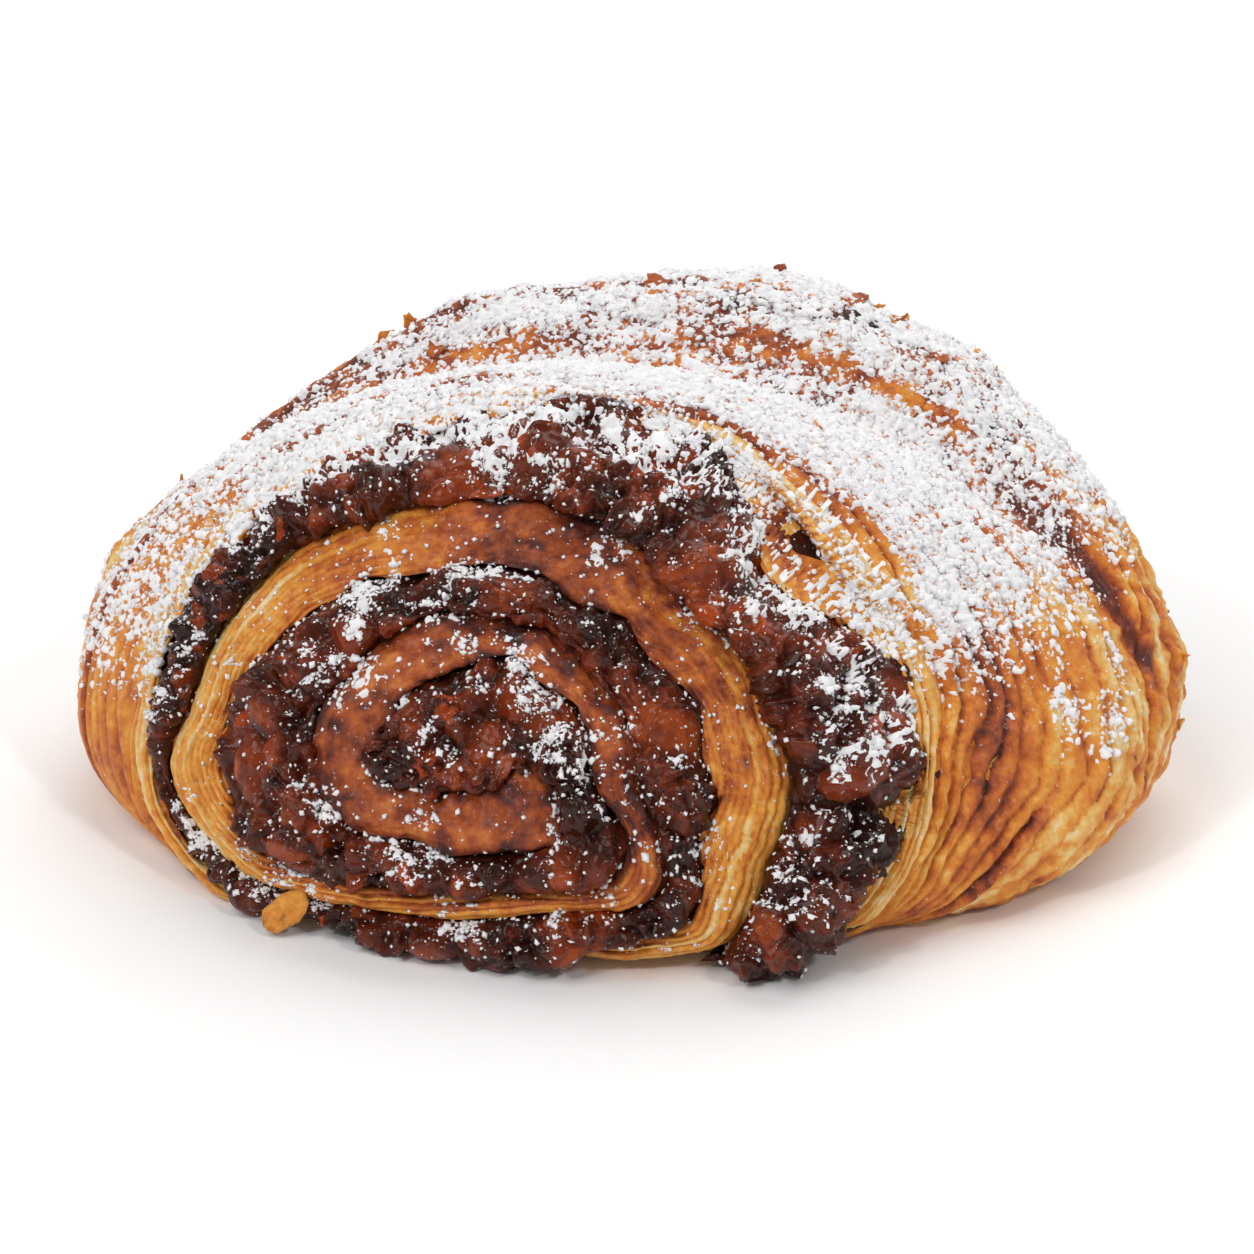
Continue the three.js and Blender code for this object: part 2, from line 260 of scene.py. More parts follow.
# ---- Layers as closed sleeves ------------------------------------------------------------------
# Hidden sides need few rows, closer at the ends where they show in the crevices.
FRONT_ROWS = np.array([0, 0.005, 0.010, 0.016, 0.022, 0.029, 0.037, 0.046, 0.057, 0.071, 0.090, 0.12])
SIDE_ROWS = np.concatenate([FRONT_ROWS, np.linspace(0.2, 0.8, 6), 1 - FRONT_ROWS[::2][::-1]])


def section_stations(outer_rows, front_steps, back_steps):
    """Stations round a layer's section: back along the outer side, inward over the back edge, home
    along the inner side and outward over the front edge. Edge stations are spaced by a cosine, so
    that they are closer at the shoulders. Gives the row, and 0 at the inner side to 1 at the outer."""
    front = (1 - np.cos(np.pi * (np.arange(front_steps) + 0.5) / front_steps)) / 2
    back = (1 - np.cos(np.pi * (np.arange(back_steps) + 0.5) / back_steps)) / 2
    rows = np.concatenate([outer_rows, np.ones(back_steps), SIDE_ROWS[::-1], np.zeros(front_steps)])
    side = np.concatenate([np.ones(len(outer_rows)), 1 - back, np.zeros(len(SIDE_ROWS)), front])
    return rows[None, :], side[None, :]


FINE_TURNS, MEASURED_ROW = 2000, 0.1        # places that a layer's length is summed over, and their row


def turns_by_length(start, end, step, share):
    """Quarter turns from start to end whose points lie a step apart, from the summed arc lengths."""
    fine = np.linspace(start, end, FINE_TURNS)
    points = place(share(fine), fine, MEASURED_ROW)
    run = np.concatenate([[0], np.cumsum(np.linalg.norm(np.diff(points, axis=0), axis=1))])
    count = int(round(run[-1] / step))
    return np.interp(np.linspace(0, run[-1], count + 1), run, fine)[:, None]


def sleeve(quarter, rows, side, inner, outer, proud):
    """A layer's surface before its relief: the straight way between its inner and outer sides, and at
    both ends pushed out by proud. Also gives the distances from the front and back rims, negative
    over the edge and down the inner side."""
    quarter, rows, side = np.broadcast_arrays(quarter, rows, side)
    low = place(*inner(quarter, rows), rows)
    high = place(*outer(quarter, rows), rows)
    width = np.linalg.norm(high - low, axis=-1)
    points = mix(low, high, side[..., None])
    points[..., 1] += (2 * rows - 1) * proud(quarter, rows, side, width)
    share, turn = outer(quarter, rows)
    length = face_y(BACK, share, turn) - face_y(FRONT, share, turn)
    down_side = np.where(side < 0.5, -1, 1)
    from_front = np.where(rows == 0, -(1 - side) * width, 0) + down_side * rows * length
    from_front = np.where((side == 0) & (rows > 0), from_front - width, from_front)
    from_back = np.where(rows == 1, -(1 - side) * width, 0) + down_side * (1 - rows) * length
    from_back = np.where((side == 0) & (rows < 1), from_back - width, from_back)
    return {"p": points, "q": quarter, "row": rows, "side": side, "width": width,
            "front": from_front, "back": from_back, "length": length}


def outward(points, closed=True):
    """Unit normals of a grid: the cross product of its two directions, turned to point outwards, which
    is where the sum of point times normal over the closed surface is positive."""
    du = np.gradient(points, axis=0)
    dv = np.roll(points, -1, 1) - np.roll(points, 1, 1) if closed else np.gradient(points, axis=1)
    normal = np.cross(du, dv)
    if closed and np.sum(normal * (points - points.mean((0, 1)))) < 0:
        normal = -normal
    return normal / np.maximum(np.linalg.norm(normal, axis=-1, keepdims=True), 1e-12)


# At the upper right of the shown end the spilt filling has pulled away from the rim, and the rim's cut
# side shows there as a wall.
WALL = {"quarter": 11.50, "spread": 0.15, "depth": 4.5, "rows": 0.14}
# Where the border between the rim and the filling strays inwards: quarter turn, spread and millimetres.
# The wall, then a nose of filling, the notch under it and the lower lump.
RIM_BORDER = ((11.52, 0.15, 4.2), (11.95, 0.05, -1.8), (12.05, 0.05, 3.2), (12.24, 0.16, 2.2))
OVERRUN = (11.05, 0.28, 1.1)        # filling run over the rim along the top, in the same terms
# Where the dough inside the swirl lies nearer to its centre than its smooth course: quarter turn, spread,
# and millimetres for its inner and its outer side.
INWARDS = ((0.05, 0.40, 1.4, 1.4), (4.15, 0.40, 2.9, 2.9), (5.0, 0.35, 0.9, 0), (6.0, 0.50, 2.2, 0.2),
           (8.05, 0.22, 1.6, 1.6), (8.38, 0.22, 4.6, 4.6))
NOTCH = (12.05, 0.07, 5.0)          # how far the filling's swell is drawn back at the notch
NOSE = (11.94, 0.06, 2.0)           # and how far it stands out above
LOWER_LUMP = (12.38, 0.16, 2.6)     # and below
INWARDS_ROWS = 0.3                  # rows over which INWARDS fades towards the back
WANDER_TURN, WANDER_ROLL = 25.0, 60.0       # lengths of a quarter turn and of the roll, for the straying
WANDER = ((1.5, 11, 1), (1.1, 4.2, 2))      # height, size and octaves of the straying
WANDER_THICK = 7                    # thickness from which the dough strays in full


def wall(quarter, row):
    """1 at the wall, fading with the quarter turn and back along the rows."""
    return bell(quarter - WALL["quarter"], WALL["spread"]) * (1 - smooth(row, 0, WALL["rows"]))


def rim_border(quarter, row):
    """The sum of the bells of RIM_BORDER, fading back along the rows."""
    inwards = sum(amount * bell(quarter - at, spread) for at, spread, amount in RIM_BORDER)
    return inwards * (1 - smooth(row, 0, WALL["rows"]))


def wander(quarter, row, outer, seed):
    """Millimetres by which a border inside the roll strays from its smooth course: noise on the way
    round and along the roll, less where the dough is thin, minus the bells of INWARDS at the front."""
    quarter, row = np.broadcast_arrays(quarter, row)
    place_on = vectors(quarter * WANDER_TURN, row * WANDER_ROLL, 0 * row)
    thick = (dough_out(quarter) - dough_in(quarter)) * reach_at(quarter, row)
    stray = sum(height * noise(place_on, size, seed + i, octaves)
                for i, (height, size, octaves) in enumerate(WANDER))
    inwards = sum(amounts[outer] * bell(quarter - at, spread) for at, spread, *amounts in INWARDS)
    return stray * np.clip(thick / WANDER_THICK, 0, 1) - inwards * (1 - smooth(row, 0, INWARDS_ROWS))


def ending(quarter, end):
    """0 along a layer and 1 at its end, smoothly over the turns where it thins."""
    return smooth(quarter, end - TAIL_TAPER, end)


def last_turn(quarter):
    """0 inside the swirl and 1 on the dough's last turn, which is the outside of the roll."""
    return smooth(quarter, SKIN_FROM - 0.1, SKIN_FROM + 0.1)


def from_edge(side, width):
    """Distance across a layer from the nearest of its two sides."""
    return np.minimum(side, 1 - side) * width


def from_face(layer):
    """Distance along the roll from the nearest of its two faces."""
    return np.minimum(layer["row"], 1 - layer["row"]) * layer["length"]


def dough_inner(quarter, row):
    """The inner side of the dough, straying at the rim's border, closing at the tail."""
    moved = wander(quarter, row, 0, 91) - rim_border(quarter, row)
    share = dough_in(quarter) + moved / reach_at(quarter, row)
    return mix(share, TAIL_SHARE, ending(quarter, DOUGH_END)), quarter


def dough_outer(quarter, row):
    """The outer side of the dough, which is the outline from SKIN_FROM on."""
    moved = wander(quarter, row, 1, 95) * (1 - smooth(quarter, SKIN_FROM - 0.5, SKIN_FROM))
    share = dough_out(quarter) + moved / reach_at(quarter, row)
    return mix(share, TAIL_SHARE, ending(quarter, DOUGH_END)), quarter


# Quarter turns over which the edge comes under the filling, out from under it, and under it again.
UNDER_FROM, UNDER_TO, UNDER_AGAIN = (8.75, 9.0), (9.16, 9.34), (12.36, 12.6)


def under(quarter):
    """1 where the dough's edge lies against the table, under the filling, and 0 elsewhere."""
    return smooth(quarter, *UNDER_FROM) * (1 - smooth(quarter, *UNDER_TO)) + smooth(quarter, *UNDER_AGAIN)


def dough_proud(quarter, rows, side, width):
    """The dough's cut edge: standing out by PROUD and drawn back at the table, with round shoulders and
    a slight crown, and sunk at the wall and where the filling has run over it."""
    skin = last_turn(quarter)
    radius = np.minimum(mix(INNER_SHOULDER, SHOULDER, skin), width / 2) + 1e-6
    inset = np.clip(1 - from_edge(side, width) / radius, 0, 1)
    crown = DOUGH_CROWN * (1 - skin) * 4 * side * (1 - side) * np.minimum(width / FULL_SWELL, 1)
    sunk = WALL["depth"] * wall(quarter, 0) * smooth(1 - side, 0.25, 0.60)
    sunk = sunk * mix(0.1, 1, smooth(side, 0, 0.4))
    sunk = sunk + (OVERRUN[2] + 1) * bell(quarter - OVERRUN[0], OVERRUN[1]) * (1 - smooth(side, 0.6, 1))
    return (curve(quarter, PROUD_AT, PROUD) + crown - sunk - TABLE_RECESS * under(quarter)
            - radius * (1 - np.sqrt(1 - inset**2)))


DROOP_ROWS = 0.07           # rows over which the filling hangs down to the table in front of the dough
LAP, LAP_ROWS = 0.8, 0.05   # how far the outermost filling laps on to the rim, and over how many rows
OUTERMOST = (6, 6.6)        # quarter turns over which the filling becomes the outermost
WALL_SLOPE = 0.65           # share by which the filling's swell is lowered beside the wall


def filling_outer(quarter, row):
    """Up to the dough outside it, less a gap, over the rim at the top and down to the table where it
    hangs over the rim. At the two faces the outermost filling laps on to the rim."""
    at_face = 1 - smooth(np.minimum(row, 1 - row), 0, LAP_ROWS)
    over_rim = OVERRUN[2] * bell(quarter + 4 - OVERRUN[0], OVERRUN[1])
    lap = at_face * (LAP * smooth(quarter, *OUTERMOST) + over_rim)
    share = dough_inner(quarter + 4, row)[0] + (lap - GAP) / reach_at(quarter, row)
    share = mix(share, 1.0, under(quarter + 4) * (1 - smooth(row, 0, DROOP_ROWS)))
    inner = dough_outer(np.maximum(quarter, 0), row)[0]
    return mix(share, (share + inner) / 2, ending(quarter, FILLING_END)), quarter


def filling_inner(quarter, row):
    """Down to the dough inside it, and before turn 0 to the mirrored underside of the middle blob."""
    turn = np.abs(quarter)
    clear = GAP / reach_at(turn, row) * (2 * smooth(quarter, -0.06, 0.06) - 1)
    share = np.where(quarter < 0, dough_inner(turn, row)[0], dough_outer(turn, row)[0]) + clear
    outer = dough_inner(quarter + 4, row)[0]
    return mix(share, (share + outer) / 2, ending(quarter, FILLING_END)), turn


def filling_proud(quarter, rows, side, width):
    """The filling's swell out of the swirl: an arch across it, higher where it is thick or has spilt,
    and sloping down to the wall."""
    arch = np.sqrt(np.clip(4 * side * (1 - side), 0, 1))
    arch = arch * (1 - WALL_SLOPE * wall(quarter + 4, 0) * smooth(side, 0.4, 1))
    spill = (SPILL * bell(quarter - SPILL_AT, SPILL_WIDTH) - NOTCH[2] * bell(quarter + 4 - NOTCH[0], NOTCH[1])
             + NOSE[2] * bell(quarter + 4 - NOSE[0], NOSE[1]) * smooth(side, 0.3, 0.8)
             + LOWER_LUMP[2] * bell(quarter + 4 - LOWER_LUMP[0], LOWER_LUMP[1]))
    return np.minimum(width / FULL_SWELL, 1) * arch * (FILLING_BULGE + spill)


# ---- Relief and tone of the dough --------------------------------------------------------------
RIDGE_AT = np.linspace(-60, 120, 1801)


def ridge_phase(distance, pitch):
    """The summed number of ridges up to a distance from the rim. The cut lamination has the pitch,
    the ridges on the flank a third more, and the skin beyond them three times that."""
    spacing = pitch * (1 + 0.35 * smooth(RIDGE_AT, -1, 3) + 1.9 * smooth(RIDGE_AT, 7, 12))
    count = np.cumsum(1 / spacing) * (RIDGE_AT[1] - RIDGE_AT[0])
    return np.interp(distance, RIDGE_AT, count)


def pages(distance, points, pitch, seed):
    """Layers lying on each other, counted from a rim: each a rounded back that leans to one side, with
    a height of its own between two gaps. The phase strays by noise at three sizes. Gives the height,
    1 at a gap falling to 0 beside it, and each layer's own number from 0 to 1."""
    phase = (ridge_phase(distance, pitch) + 1.6 * noise(points, 15, seed) + 0.5 * noise(points, 5, seed + 1)
             + 0.12 * noise(points, 1.2, seed + 2))
    number = np.floor(phase)
    within = phase - number
    own = scramble(number, 0 * number, 0 * number, seed)
    gap = bell(np.minimum(within, 1 - within), 0.17)
    back = 0.55 * (1 - (2 * within - 1) ** 2) + 0.35 * within + 0.6 * (own - 0.5)
    return mix(back, -0.25, gap), gap, own


COMB = 210      # phase of the torn strands of the wall, in radians for each quarter turn

# Tone of the baked dough, from 0 (cream) to 1 (dark brown), over the distance from the rim in
# millimetres, on the right flank and on the left flank.
TONE_AT = [-6, -1, 0.5, 1.5, 2.5, 3.5, 4.5, 5.5, 6.5, 7.5, 9, 10.5, 12, 14, 16, 19, 24, 60]
TONE_RIGHT = [.26, .26, .30, .38, .52, .62, .66, .60, .48, .34, .24, .28, .38, .36, .28, .32, .26, .26]
TONE_LEFT = [.16, .18, .30, .40, .46, .48, .46, .44, .43, .43, .44, .44, .43, .43, .44, .45, .44, .44]
CROWN_TONE, CROWN_FROM, CROWN_TO = 0.62, (10.2, 10.6), (11.4, 11.7)     # the crown, under the sugar
# Tone and depth of the cut lamination along the dough, by quarter turn.
CUT_AT = [0, 1, 2, 3, 4, 4.6, 5, 5.6, 6.2, 6.6, 7, 7.4, 7.8, 8.2, 8.6, 9, 10, 11, 12, 12.8]
CUT_TONE = [.57, .56, .56, .57, .54, .44, .40, .24, .20, .42,
            .66, .60, .38, .28, .27, .22, .22, .34, .26, .28]
CUT_DEPTH = [.03, .04, .06, .05, .08, .22, .38, .46, .44, .18,
             .06, .10, .28, .38, .42, .50, .50, .30, .80, .60]
REAR_ROWS = (0.72, 0.80)            # rows over which the ridges change from the front rim to the back rim
FLANK_FROM, FLANK_TO = (11.35, 11.75), (12.6, 12.75)        # the right flank, in quarter turns
DOUGHY_UNTIL = (4.3, 5.0)           # inner turns with soft dough, and a second stretch of it
DOUGHY_FROM, DOUGHY_TO = (6.45, 6.8), (7.5, 8.0)
FLANK_RIDGES, LEFT_RIDGES = 1.30, 0.60      # height of the ridges on the right flank and elsewhere
SEAM_ROW, SEAM_WIDTH, SEAM_FROM, SEAM_TO = 0.46, 0.03, (11.4, 11.5), (11.82, 11.96)    # the press's seam, a groove darkened with painted shade
WALL_SHADE = (11.45, 0.09)          # where the wall is darkest with painted shade, in its crevice beside the filling: quarter turn and spread
MOIST_UNTIL, MOIST_AT, MOIST_SPREAD = (4.2, 5.0), 7.1, 0.4  # where the cut dough is moist and rosy


def spots(quarter, row, places):
    """The sum of bells at listed places, each with its height and its spread both ways."""
    return sum(height * bell(quarter - q, wide) * bell(row - r, long)
               for q, r, height, wide, long in places)


def dough_relief(layer, pitch, depth):
    """Height of the dough's relief in millimetres, its tone from 0 to 1, and how high on a layer of the
    lamination it is: pages counted from the nearest rim, the press's slit, blisters, the seam, crinkles
    of noise, and a stain where the dough meets the filling. Painted shade darkens the tone in the gaps
    between the layers, down in the crinkles, along the seam and on the wall beside the filling."""
    q, row, p, side = layer["q"], layer["row"], layer["p"], layer["side"]
    # Where it is: on the last turn, counted from the back rim, over the rim's edge, and on which flank.
    skin = last_turn(q)
    rear = smooth(row, *REAR_ROWS)
    near = mix(layer["front"], layer["back"], rear)
    leaf, gap, own = (mix(a, b, rear) for a, b in zip(pages(layer["front"], p, pitch, 11),
                                                      pages(layer["back"], p, pitch, 12)))
    outside = smooth(near, -0.6, 0.8)
    cut, on_skin = 1 - outside, skin * outside
    right = smooth(q, *FLANK_FROM) * (1 - smooth(q, *FLANK_TO))
    clear = smooth(q, *CRUST_FROM) * (1 - smooth(q, *CRUST_TO))
    doughy = 1 - smooth(q, *DOUGHY_UNTIL) + 0.8 * smooth(q, *DOUGHY_FROM) * (1 - smooth(q, *DOUGHY_TO))

    # How high the ridges are: by the place along the cut dough, and on the skin less far from the rim.
    streaks = noise(vectors(near, 14 * q, 20 * own), 1.5, 34, 2)
    cut_depth = curve(q, CUT_AT, CUT_DEPTH)
    flank = mix(LEFT_RIDGES, FLANK_RIDGES, right)
    flank = flank * (1 - 0.8 * smooth(near, 6.5, 8.5) * (1 - 0.3 * smooth(near, 10, 13)))
    strength = cut * cut_depth + on_skin * flank * (0.75 + 0.9 * (own - 0.4))
    strength = strength * depth * np.clip(0.8 + 0.7 * noise(p, 6, 21, 2) + 0.3 * streaks, 0.1, 1.4)
    # The ridges, pores, the uneven cut, and crinkles and broad bumps far from the rim.
    fine = noise(p, 1.1, 22, 2)
    crinkle = 1 - np.abs(noise(p, 3.0, 23, 4))
    bumps = noise(p, 5.5, 24, 2)
    far = on_skin * smooth(near, 8, 13)
    height = (strength * (leaf - 0.45) * 1.25 + 0.10 * fine * (0.5 + cut)
              + cut * (mix(0.55, 1.0, doughy) * noise(p, 6, 26, 3) + doughy * 0.7 * noise(p, 2.2, 28, 3))
              + far * (1.1 * (crinkle - 0.75) + 0.45 * bumps)
              + on_skin * (0.25 * bumps + 0.12 * right * fine))
    # The wall's torn strands, an even comb bent by noise.
    comb = wall(q, 0) * cut * skin * smooth(side, 0.05, 0.3) * (1 - smooth(side, 0.7, 0.85)) * (row < 0.5)
    strands = np.abs(np.sin(COMB * q + 3 * noise(p, 3, 27)))
    height = mix(height, 0.3 * strands + 0.2 * fine, comb)
    # What the press left: the seam, the slit and the blisters, not deeper than the dough is thick.
    seam = (skin * outside * bell(row - SEAM_ROW - 0.015 * noise(p, 9, 25), SEAM_WIDTH)
            * smooth(q, *SEAM_FROM) * (1 - smooth(q, *SEAM_TO)))
    pressed = skin * clear * outside * spots(q, row, (SLIT,) + BLISTERS)
    height = height + pressed + seam * (0.6 * noise(p, 2.0, 35, 2) - 0.8)
    height = np.where(skin > 0, np.maximum(height, -0.42 * layer["width"]), height)
    height = height * (1 - smooth(-near - layer["width"], -0.5, 1.0))

    # Tone: by the distance from the rim on the skin and by the quarter turn on the cut, then the layers'
    # own tones, painted shade in the gaps between them, mottled soft dough, streaks along the layers, noise,
    # and painted shade down in the crinkles.
    side_tone = mix(curve(near, TONE_AT, TONE_LEFT), curve(near, TONE_AT, TONE_RIGHT), right)
    side_tone = mix(side_tone, CROWN_TONE, smooth(q, *CROWN_FROM) * (1 - smooth(q, *CROWN_TO)))
    edge = from_edge(side, layer["width"])
    stain = cut * (1 - skin) * (1 - smooth(edge + 1.2 * noise(p, 2.5, 29, 2), 0, 1.8))
    stain = stain * mix(0.14, 0.22, doughy)
    # Painted shade: the tone is darker in the gaps between the layers, more where the ridges are deep, and
    # down in the creases of the crinkles far from the rim.
    tone = (mix(curve(q, CUT_AT, CUT_TONE), side_tone, on_skin) + stain
            + (own - 0.5) * 0.26 * mix(1, np.clip(3 * cut_depth, 0, 1), cut)
            + gap * mix(0.06, 0.26, np.clip(strength, 0, 1)) * (1 - 0.8 * doughy * cut)
            + doughy * cut * (0.26 * noise(p, 3.5, 32, 2) + 0.16 * noise(p, 1.2, 33))
            + (0.10 + 0.10 * right * on_skin) * streaks + 0.14 * noise(p, 9, 31, 2) + 0.14 * fine
            + far * 0.5 * (0.8 - crinkle))
    # Painted shade: the wall is darkened near the filling, where it lies in a crevice.
    shade = bell(q - WALL_SHADE[0], WALL_SHADE[1]) * (1 - smooth(side, 0.45, 0.75))
    tone = mix(tone, 0.60 + 0.35 * shade - 0.50 * strands * (1 - 0.6 * shade) + 0.06 * fine, comb)
    # Painted shade: the seam's groove is darkened to dark brown.
    tone = mix(tone, 0.82 + 0.12 * fine, np.clip(seam * 1.2, 0, 1))
    return height, np.clip(tone, 0, 1), leaf


CLOSER_IN_FRONT = 0.35      # share by which the crust's rows are spaced by their squares


@cache
def dough_surface(start, end, step, outer_rows, front_steps, back_steps, pitch, depth):
    """A stretch of the dough with its relief: the sleeve moved along its normals by the relief. Its rows
    are spaced evenly and by their squares in a fixed share, or are the hidden sides' rows if none is
    asked for. It also carries how moist it is, and how much fine sugar dusts it."""
    even = np.linspace(0, 1, outer_rows)
    rows = mix(even, even**2, CLOSER_IN_FRONT) if outer_rows else SIDE_ROWS
    turns = turns_by_length(start, end, step, lambda q: (dough_in(q) + dough_out(q)) / 2)
    rows, side = section_stations(rows, front_steps, back_steps)
    layer = sleeve(turns, rows, side, dough_inner, dough_outer, dough_proud)
    height, tone, _ = dough_relief(layer, pitch, depth)
    layer["p"] = layer["p"] + outward(layer["p"]) * height[..., None]
    layer["p"][..., 2] = np.maximum(layer["p"][..., 2], 0)
    layer["n"] = outward(layer["p"])
    layer["lift"] = layer["n"]
    layer["up"] = layer["n"][..., 2]
    layer["tone"] = tone
    layer["rosy"] = 1 - smooth(layer["q"], *MOIST_UNTIL) + 0.7 * bell(layer["q"] - MOIST_AT, MOIST_SPREAD)
    crust = sugar_cover(layer["q"], layer["row"], layer["p"], layer["front"])
    crust = crust * smooth(layer["side"], 0.3, 0.8) * smooth(layer["n"][..., 2], -0.1, 0.3)
    layer["dust"] = np.where(layer["q"] > SKIN_FROM, crust, 0.5 * face_cover(layer))
    return layer


# Quarter turns where the filling is smooth and red-brown, with their spread.
JAM_AT = ((0.75, 0.25), (2.45, 0.12), (6.86, 0.13), (7.48, 0.12), (7.95, 0.08))
SMALL_CRAG, FOLD = 0.42, 0.85       # sizes of the small crags and of the folds, as shares of the large crags
HIDDEN_SIDE_SHADE = 0.7                   # how dark the hidden sides are at least: painted shade where they show in the crevices


def filling_relief(layer, lump, depth):
    """Crags of the filling: domes of cell noise at two sizes, creased where cells meet, folds and fine
    noise, fading out down the sides. Jammy patches have the large domes alone. Also gives how burnt it
    is, with painted shade added down in the hollows and on the hidden sides, and how much amber shows,
    from 0 to 1."""
    p = layer["p"]
    warped = p + 1.4 * noise_vectors(p, 4.0, 41)
    big, big_gap, big_own = cells(warped, lump, 44)
    small, small_gap, small_own = cells(warped, lump * SMALL_CRAG, 48)
    folds = 1 - 2.4 * np.abs(noise(warped, FOLD * lump, 57, 3))
    fine = noise(p, 0.9, 52, 3)
    jammy = np.maximum(smooth(noise(p, 8, 55, 2), 0.2, 0.5),
                       np.clip(sum(bell(layer["q"] - q, wide) for q, wide in JAM_AT), 0, 1))
    broad = 1.7 * (0.5 - big**1.6) - 0.6 * np.exp(-big_gap / 0.18) + 1.6 * noise(p, 8, 53, 2)
    craggy = 0.9 * (0.5 - small) - 0.3 * np.exp(-small_gap / 0.15) + 1.4 * folds + 0.9 * fine
    crag = broad + craggy * (1 - 0.8 * jammy)
    # The crags stand free between the layer's two sides, less at its shoulders where it laps on to the
    # dough, and hardly down the hidden sides.
    inside = layer["side"] * (1 - layer["side"]) > 0
    down = 1 - smooth(from_face(layer), 0, 6)
    shoulder = smooth(from_edge(layer["side"], layer["width"]), -0.2, 1.8)
    lapping = 0.22 + 0.5 * smooth(noise(p, 6, 58), 0.05, 0.5)
    loose = mix(lapping, 0.8, smooth(layer["q"], *OUTERMOST) * smooth(layer["side"], 0.4, 0.6))
    free = np.where(inside, mix(loose, 1, shoulder), 0.3 * down)
    # Burnt more in broad patches and by the crags' own numbers, and less where jammy; painted shade makes
    # it darker where the crags are low, in the hollows, and lighter where they are high.
    burn_and_shade = (0.64 + 0.55 * noise(p, 7, 54, 2) + 0.30 * (big_own - 0.5) + 0.25 * (small_own - 0.5)
            - 0.10 * crag - 0.30 * jammy)
    # Painted shade: the hidden sides, seen only in the crevices, are kept dark.
    burn_and_shade = np.where(inside, burn_and_shade, np.maximum(burn_and_shade, HIDDEN_SIDE_SHADE))
    amber = smooth(small_own, 0.80, 0.95) * smooth(noise(p, 9, 56), 0.0, 0.5)
    amber = amber + 0.5 * jammy * smooth(big_own, 0.4, 0.9)
    return depth * crag * free, np.clip(burn_and_shade, 0, 1), np.clip(amber, 0, 1) * free * inside


@cache
def filling_surface(start, end, step, front_steps, back_steps, lump, depth):
    """A stretch of the filling with its crags: the sleeve moved along its normals by the relief. Sugar
    lies along the mean of the smooth normals and the craggy ones."""
    turns = turns_by_length(start, end, step, lambda q: (dough_out(np.maximum(q, 0)) + dough_in(q + 4)) / 2)
    rows, side = section_stations(SIDE_ROWS, front_steps, back_steps)
    layer = sleeve(turns, rows, side, filling_inner, filling_outer, filling_proud)
    height, burn_and_shade, amber = filling_relief(layer, lump, depth)
    broad = outward(layer["p"])
    layer["p"] = layer["p"] + broad * height[..., None]
    layer["p"][..., 2] = np.maximum(layer["p"][..., 2], 0)
    layer["n"] = outward(layer["p"])
    layer["lift"] = (broad + layer["n"]) / 2
    layer["up"] = layer["lift"][..., 2]
    layer["burn_and_shade"], layer["amber"] = burn_and_shade, amber
    layer["dust"] = 0.7 * face_cover(layer)
    return layer


# ---- Icing sugar -------------------------------------------------------------------------------
ROLL_LENGTH = 78.0      # along the roll, for spacing the sheet's rows
RIM_ROWS = 20           # rows of the sheet over the rim's rounded edge
RIGHT_END, RIGHT_END_REAR = 11.80, 0.12     # where the sugar ends on the right, and how much sooner behind
BELOW = -0.35           # height of the sheet where it has no sugar, under the surface
LYING_FROM = -0.12      # height from which the sheet is kept
CAUGHT_FROM = 0.02      # cover from which sugar on the swirl is kept
# Quarter turn, row, amount, and spread over the quarter and the row.
RIGHT_PATCHES = ((11.86, 0.17, 0.6, 0.05, 0.025), (11.90, 0.25, 0.6, 0.05, 0.030),
                 (11.80, 0.34, 0.5, 0.06, 0.035))
BARE_PLACES = (
    (10.75, 0.485, 0.75, 0.16, 0.035), (11.06, 0.50, 0.45, 0.10, 0.03), (11.28, 0.51, 1.0, 0.13, 0.018),
    (10.48, 0.66, 0.8, 0.10, 0.10), (11.55, 0.02, 0.6, 0.12, 0.05), (11.70, 0.47, 0.8, 0.14, 0.04),
    (10.55, 0.05, 0.8, 0.07, 0.018), (10.36, 0.035, 0.7, 0.08, 0.015),
)


def sugar_cover(q, row, p, near):
    """How much of the crust the sugar covers, from 0 to 1: full over the crown, fading down both
    flanks, with patches on the right one, thinner in listed bare places and beside the rim on the
    right, and broken up by noise drawn out along the layers."""
    left = smooth(q, 9.92, 10.15) * mix(0.50, 1, smooth(q, 10.2, 10.6))
    right_end = RIGHT_END - RIGHT_END_REAR * smooth(row, 0.05, 0.3)
    right = 1 - smooth(q, right_end - 0.18, right_end + 0.10)
    far_left = (1 - smooth(q, 10.35, 10.75)) * smooth(near, 7, 15)
    cover = left * right * (1 - 0.75 * smooth(row, 0.86, 1.0)) * (1 - 0.8 * far_left)
    cover = cover * (1 - 0.8 * bell(near - 0.4, 1.0) * smooth(q, 11.0, 11.2) * (1 - smooth(q, 11.6, 11.8)))
    cover = cover + (1 - right) * spots(q, row, RIGHT_PATCHES)
    bare = np.clip(spots(q, row, BARE_PLACES), 0, 1)
    lines = noise(vectors(near, 9 * q, 0 * q), 1.5, 68, 2)
    patch = 0.6 * noise(p, 9, 61, 2) + 0.4 * noise(p * [0.8, 1.6, 0.8], 3.0, 62) + np.minimum(lines, 0.15)
    return np.clip(cover * (1 - bare) * (mix(0.92, 0.79, smooth(row, 0.2, 0.5)) + 0.55 * patch), 0, 1)


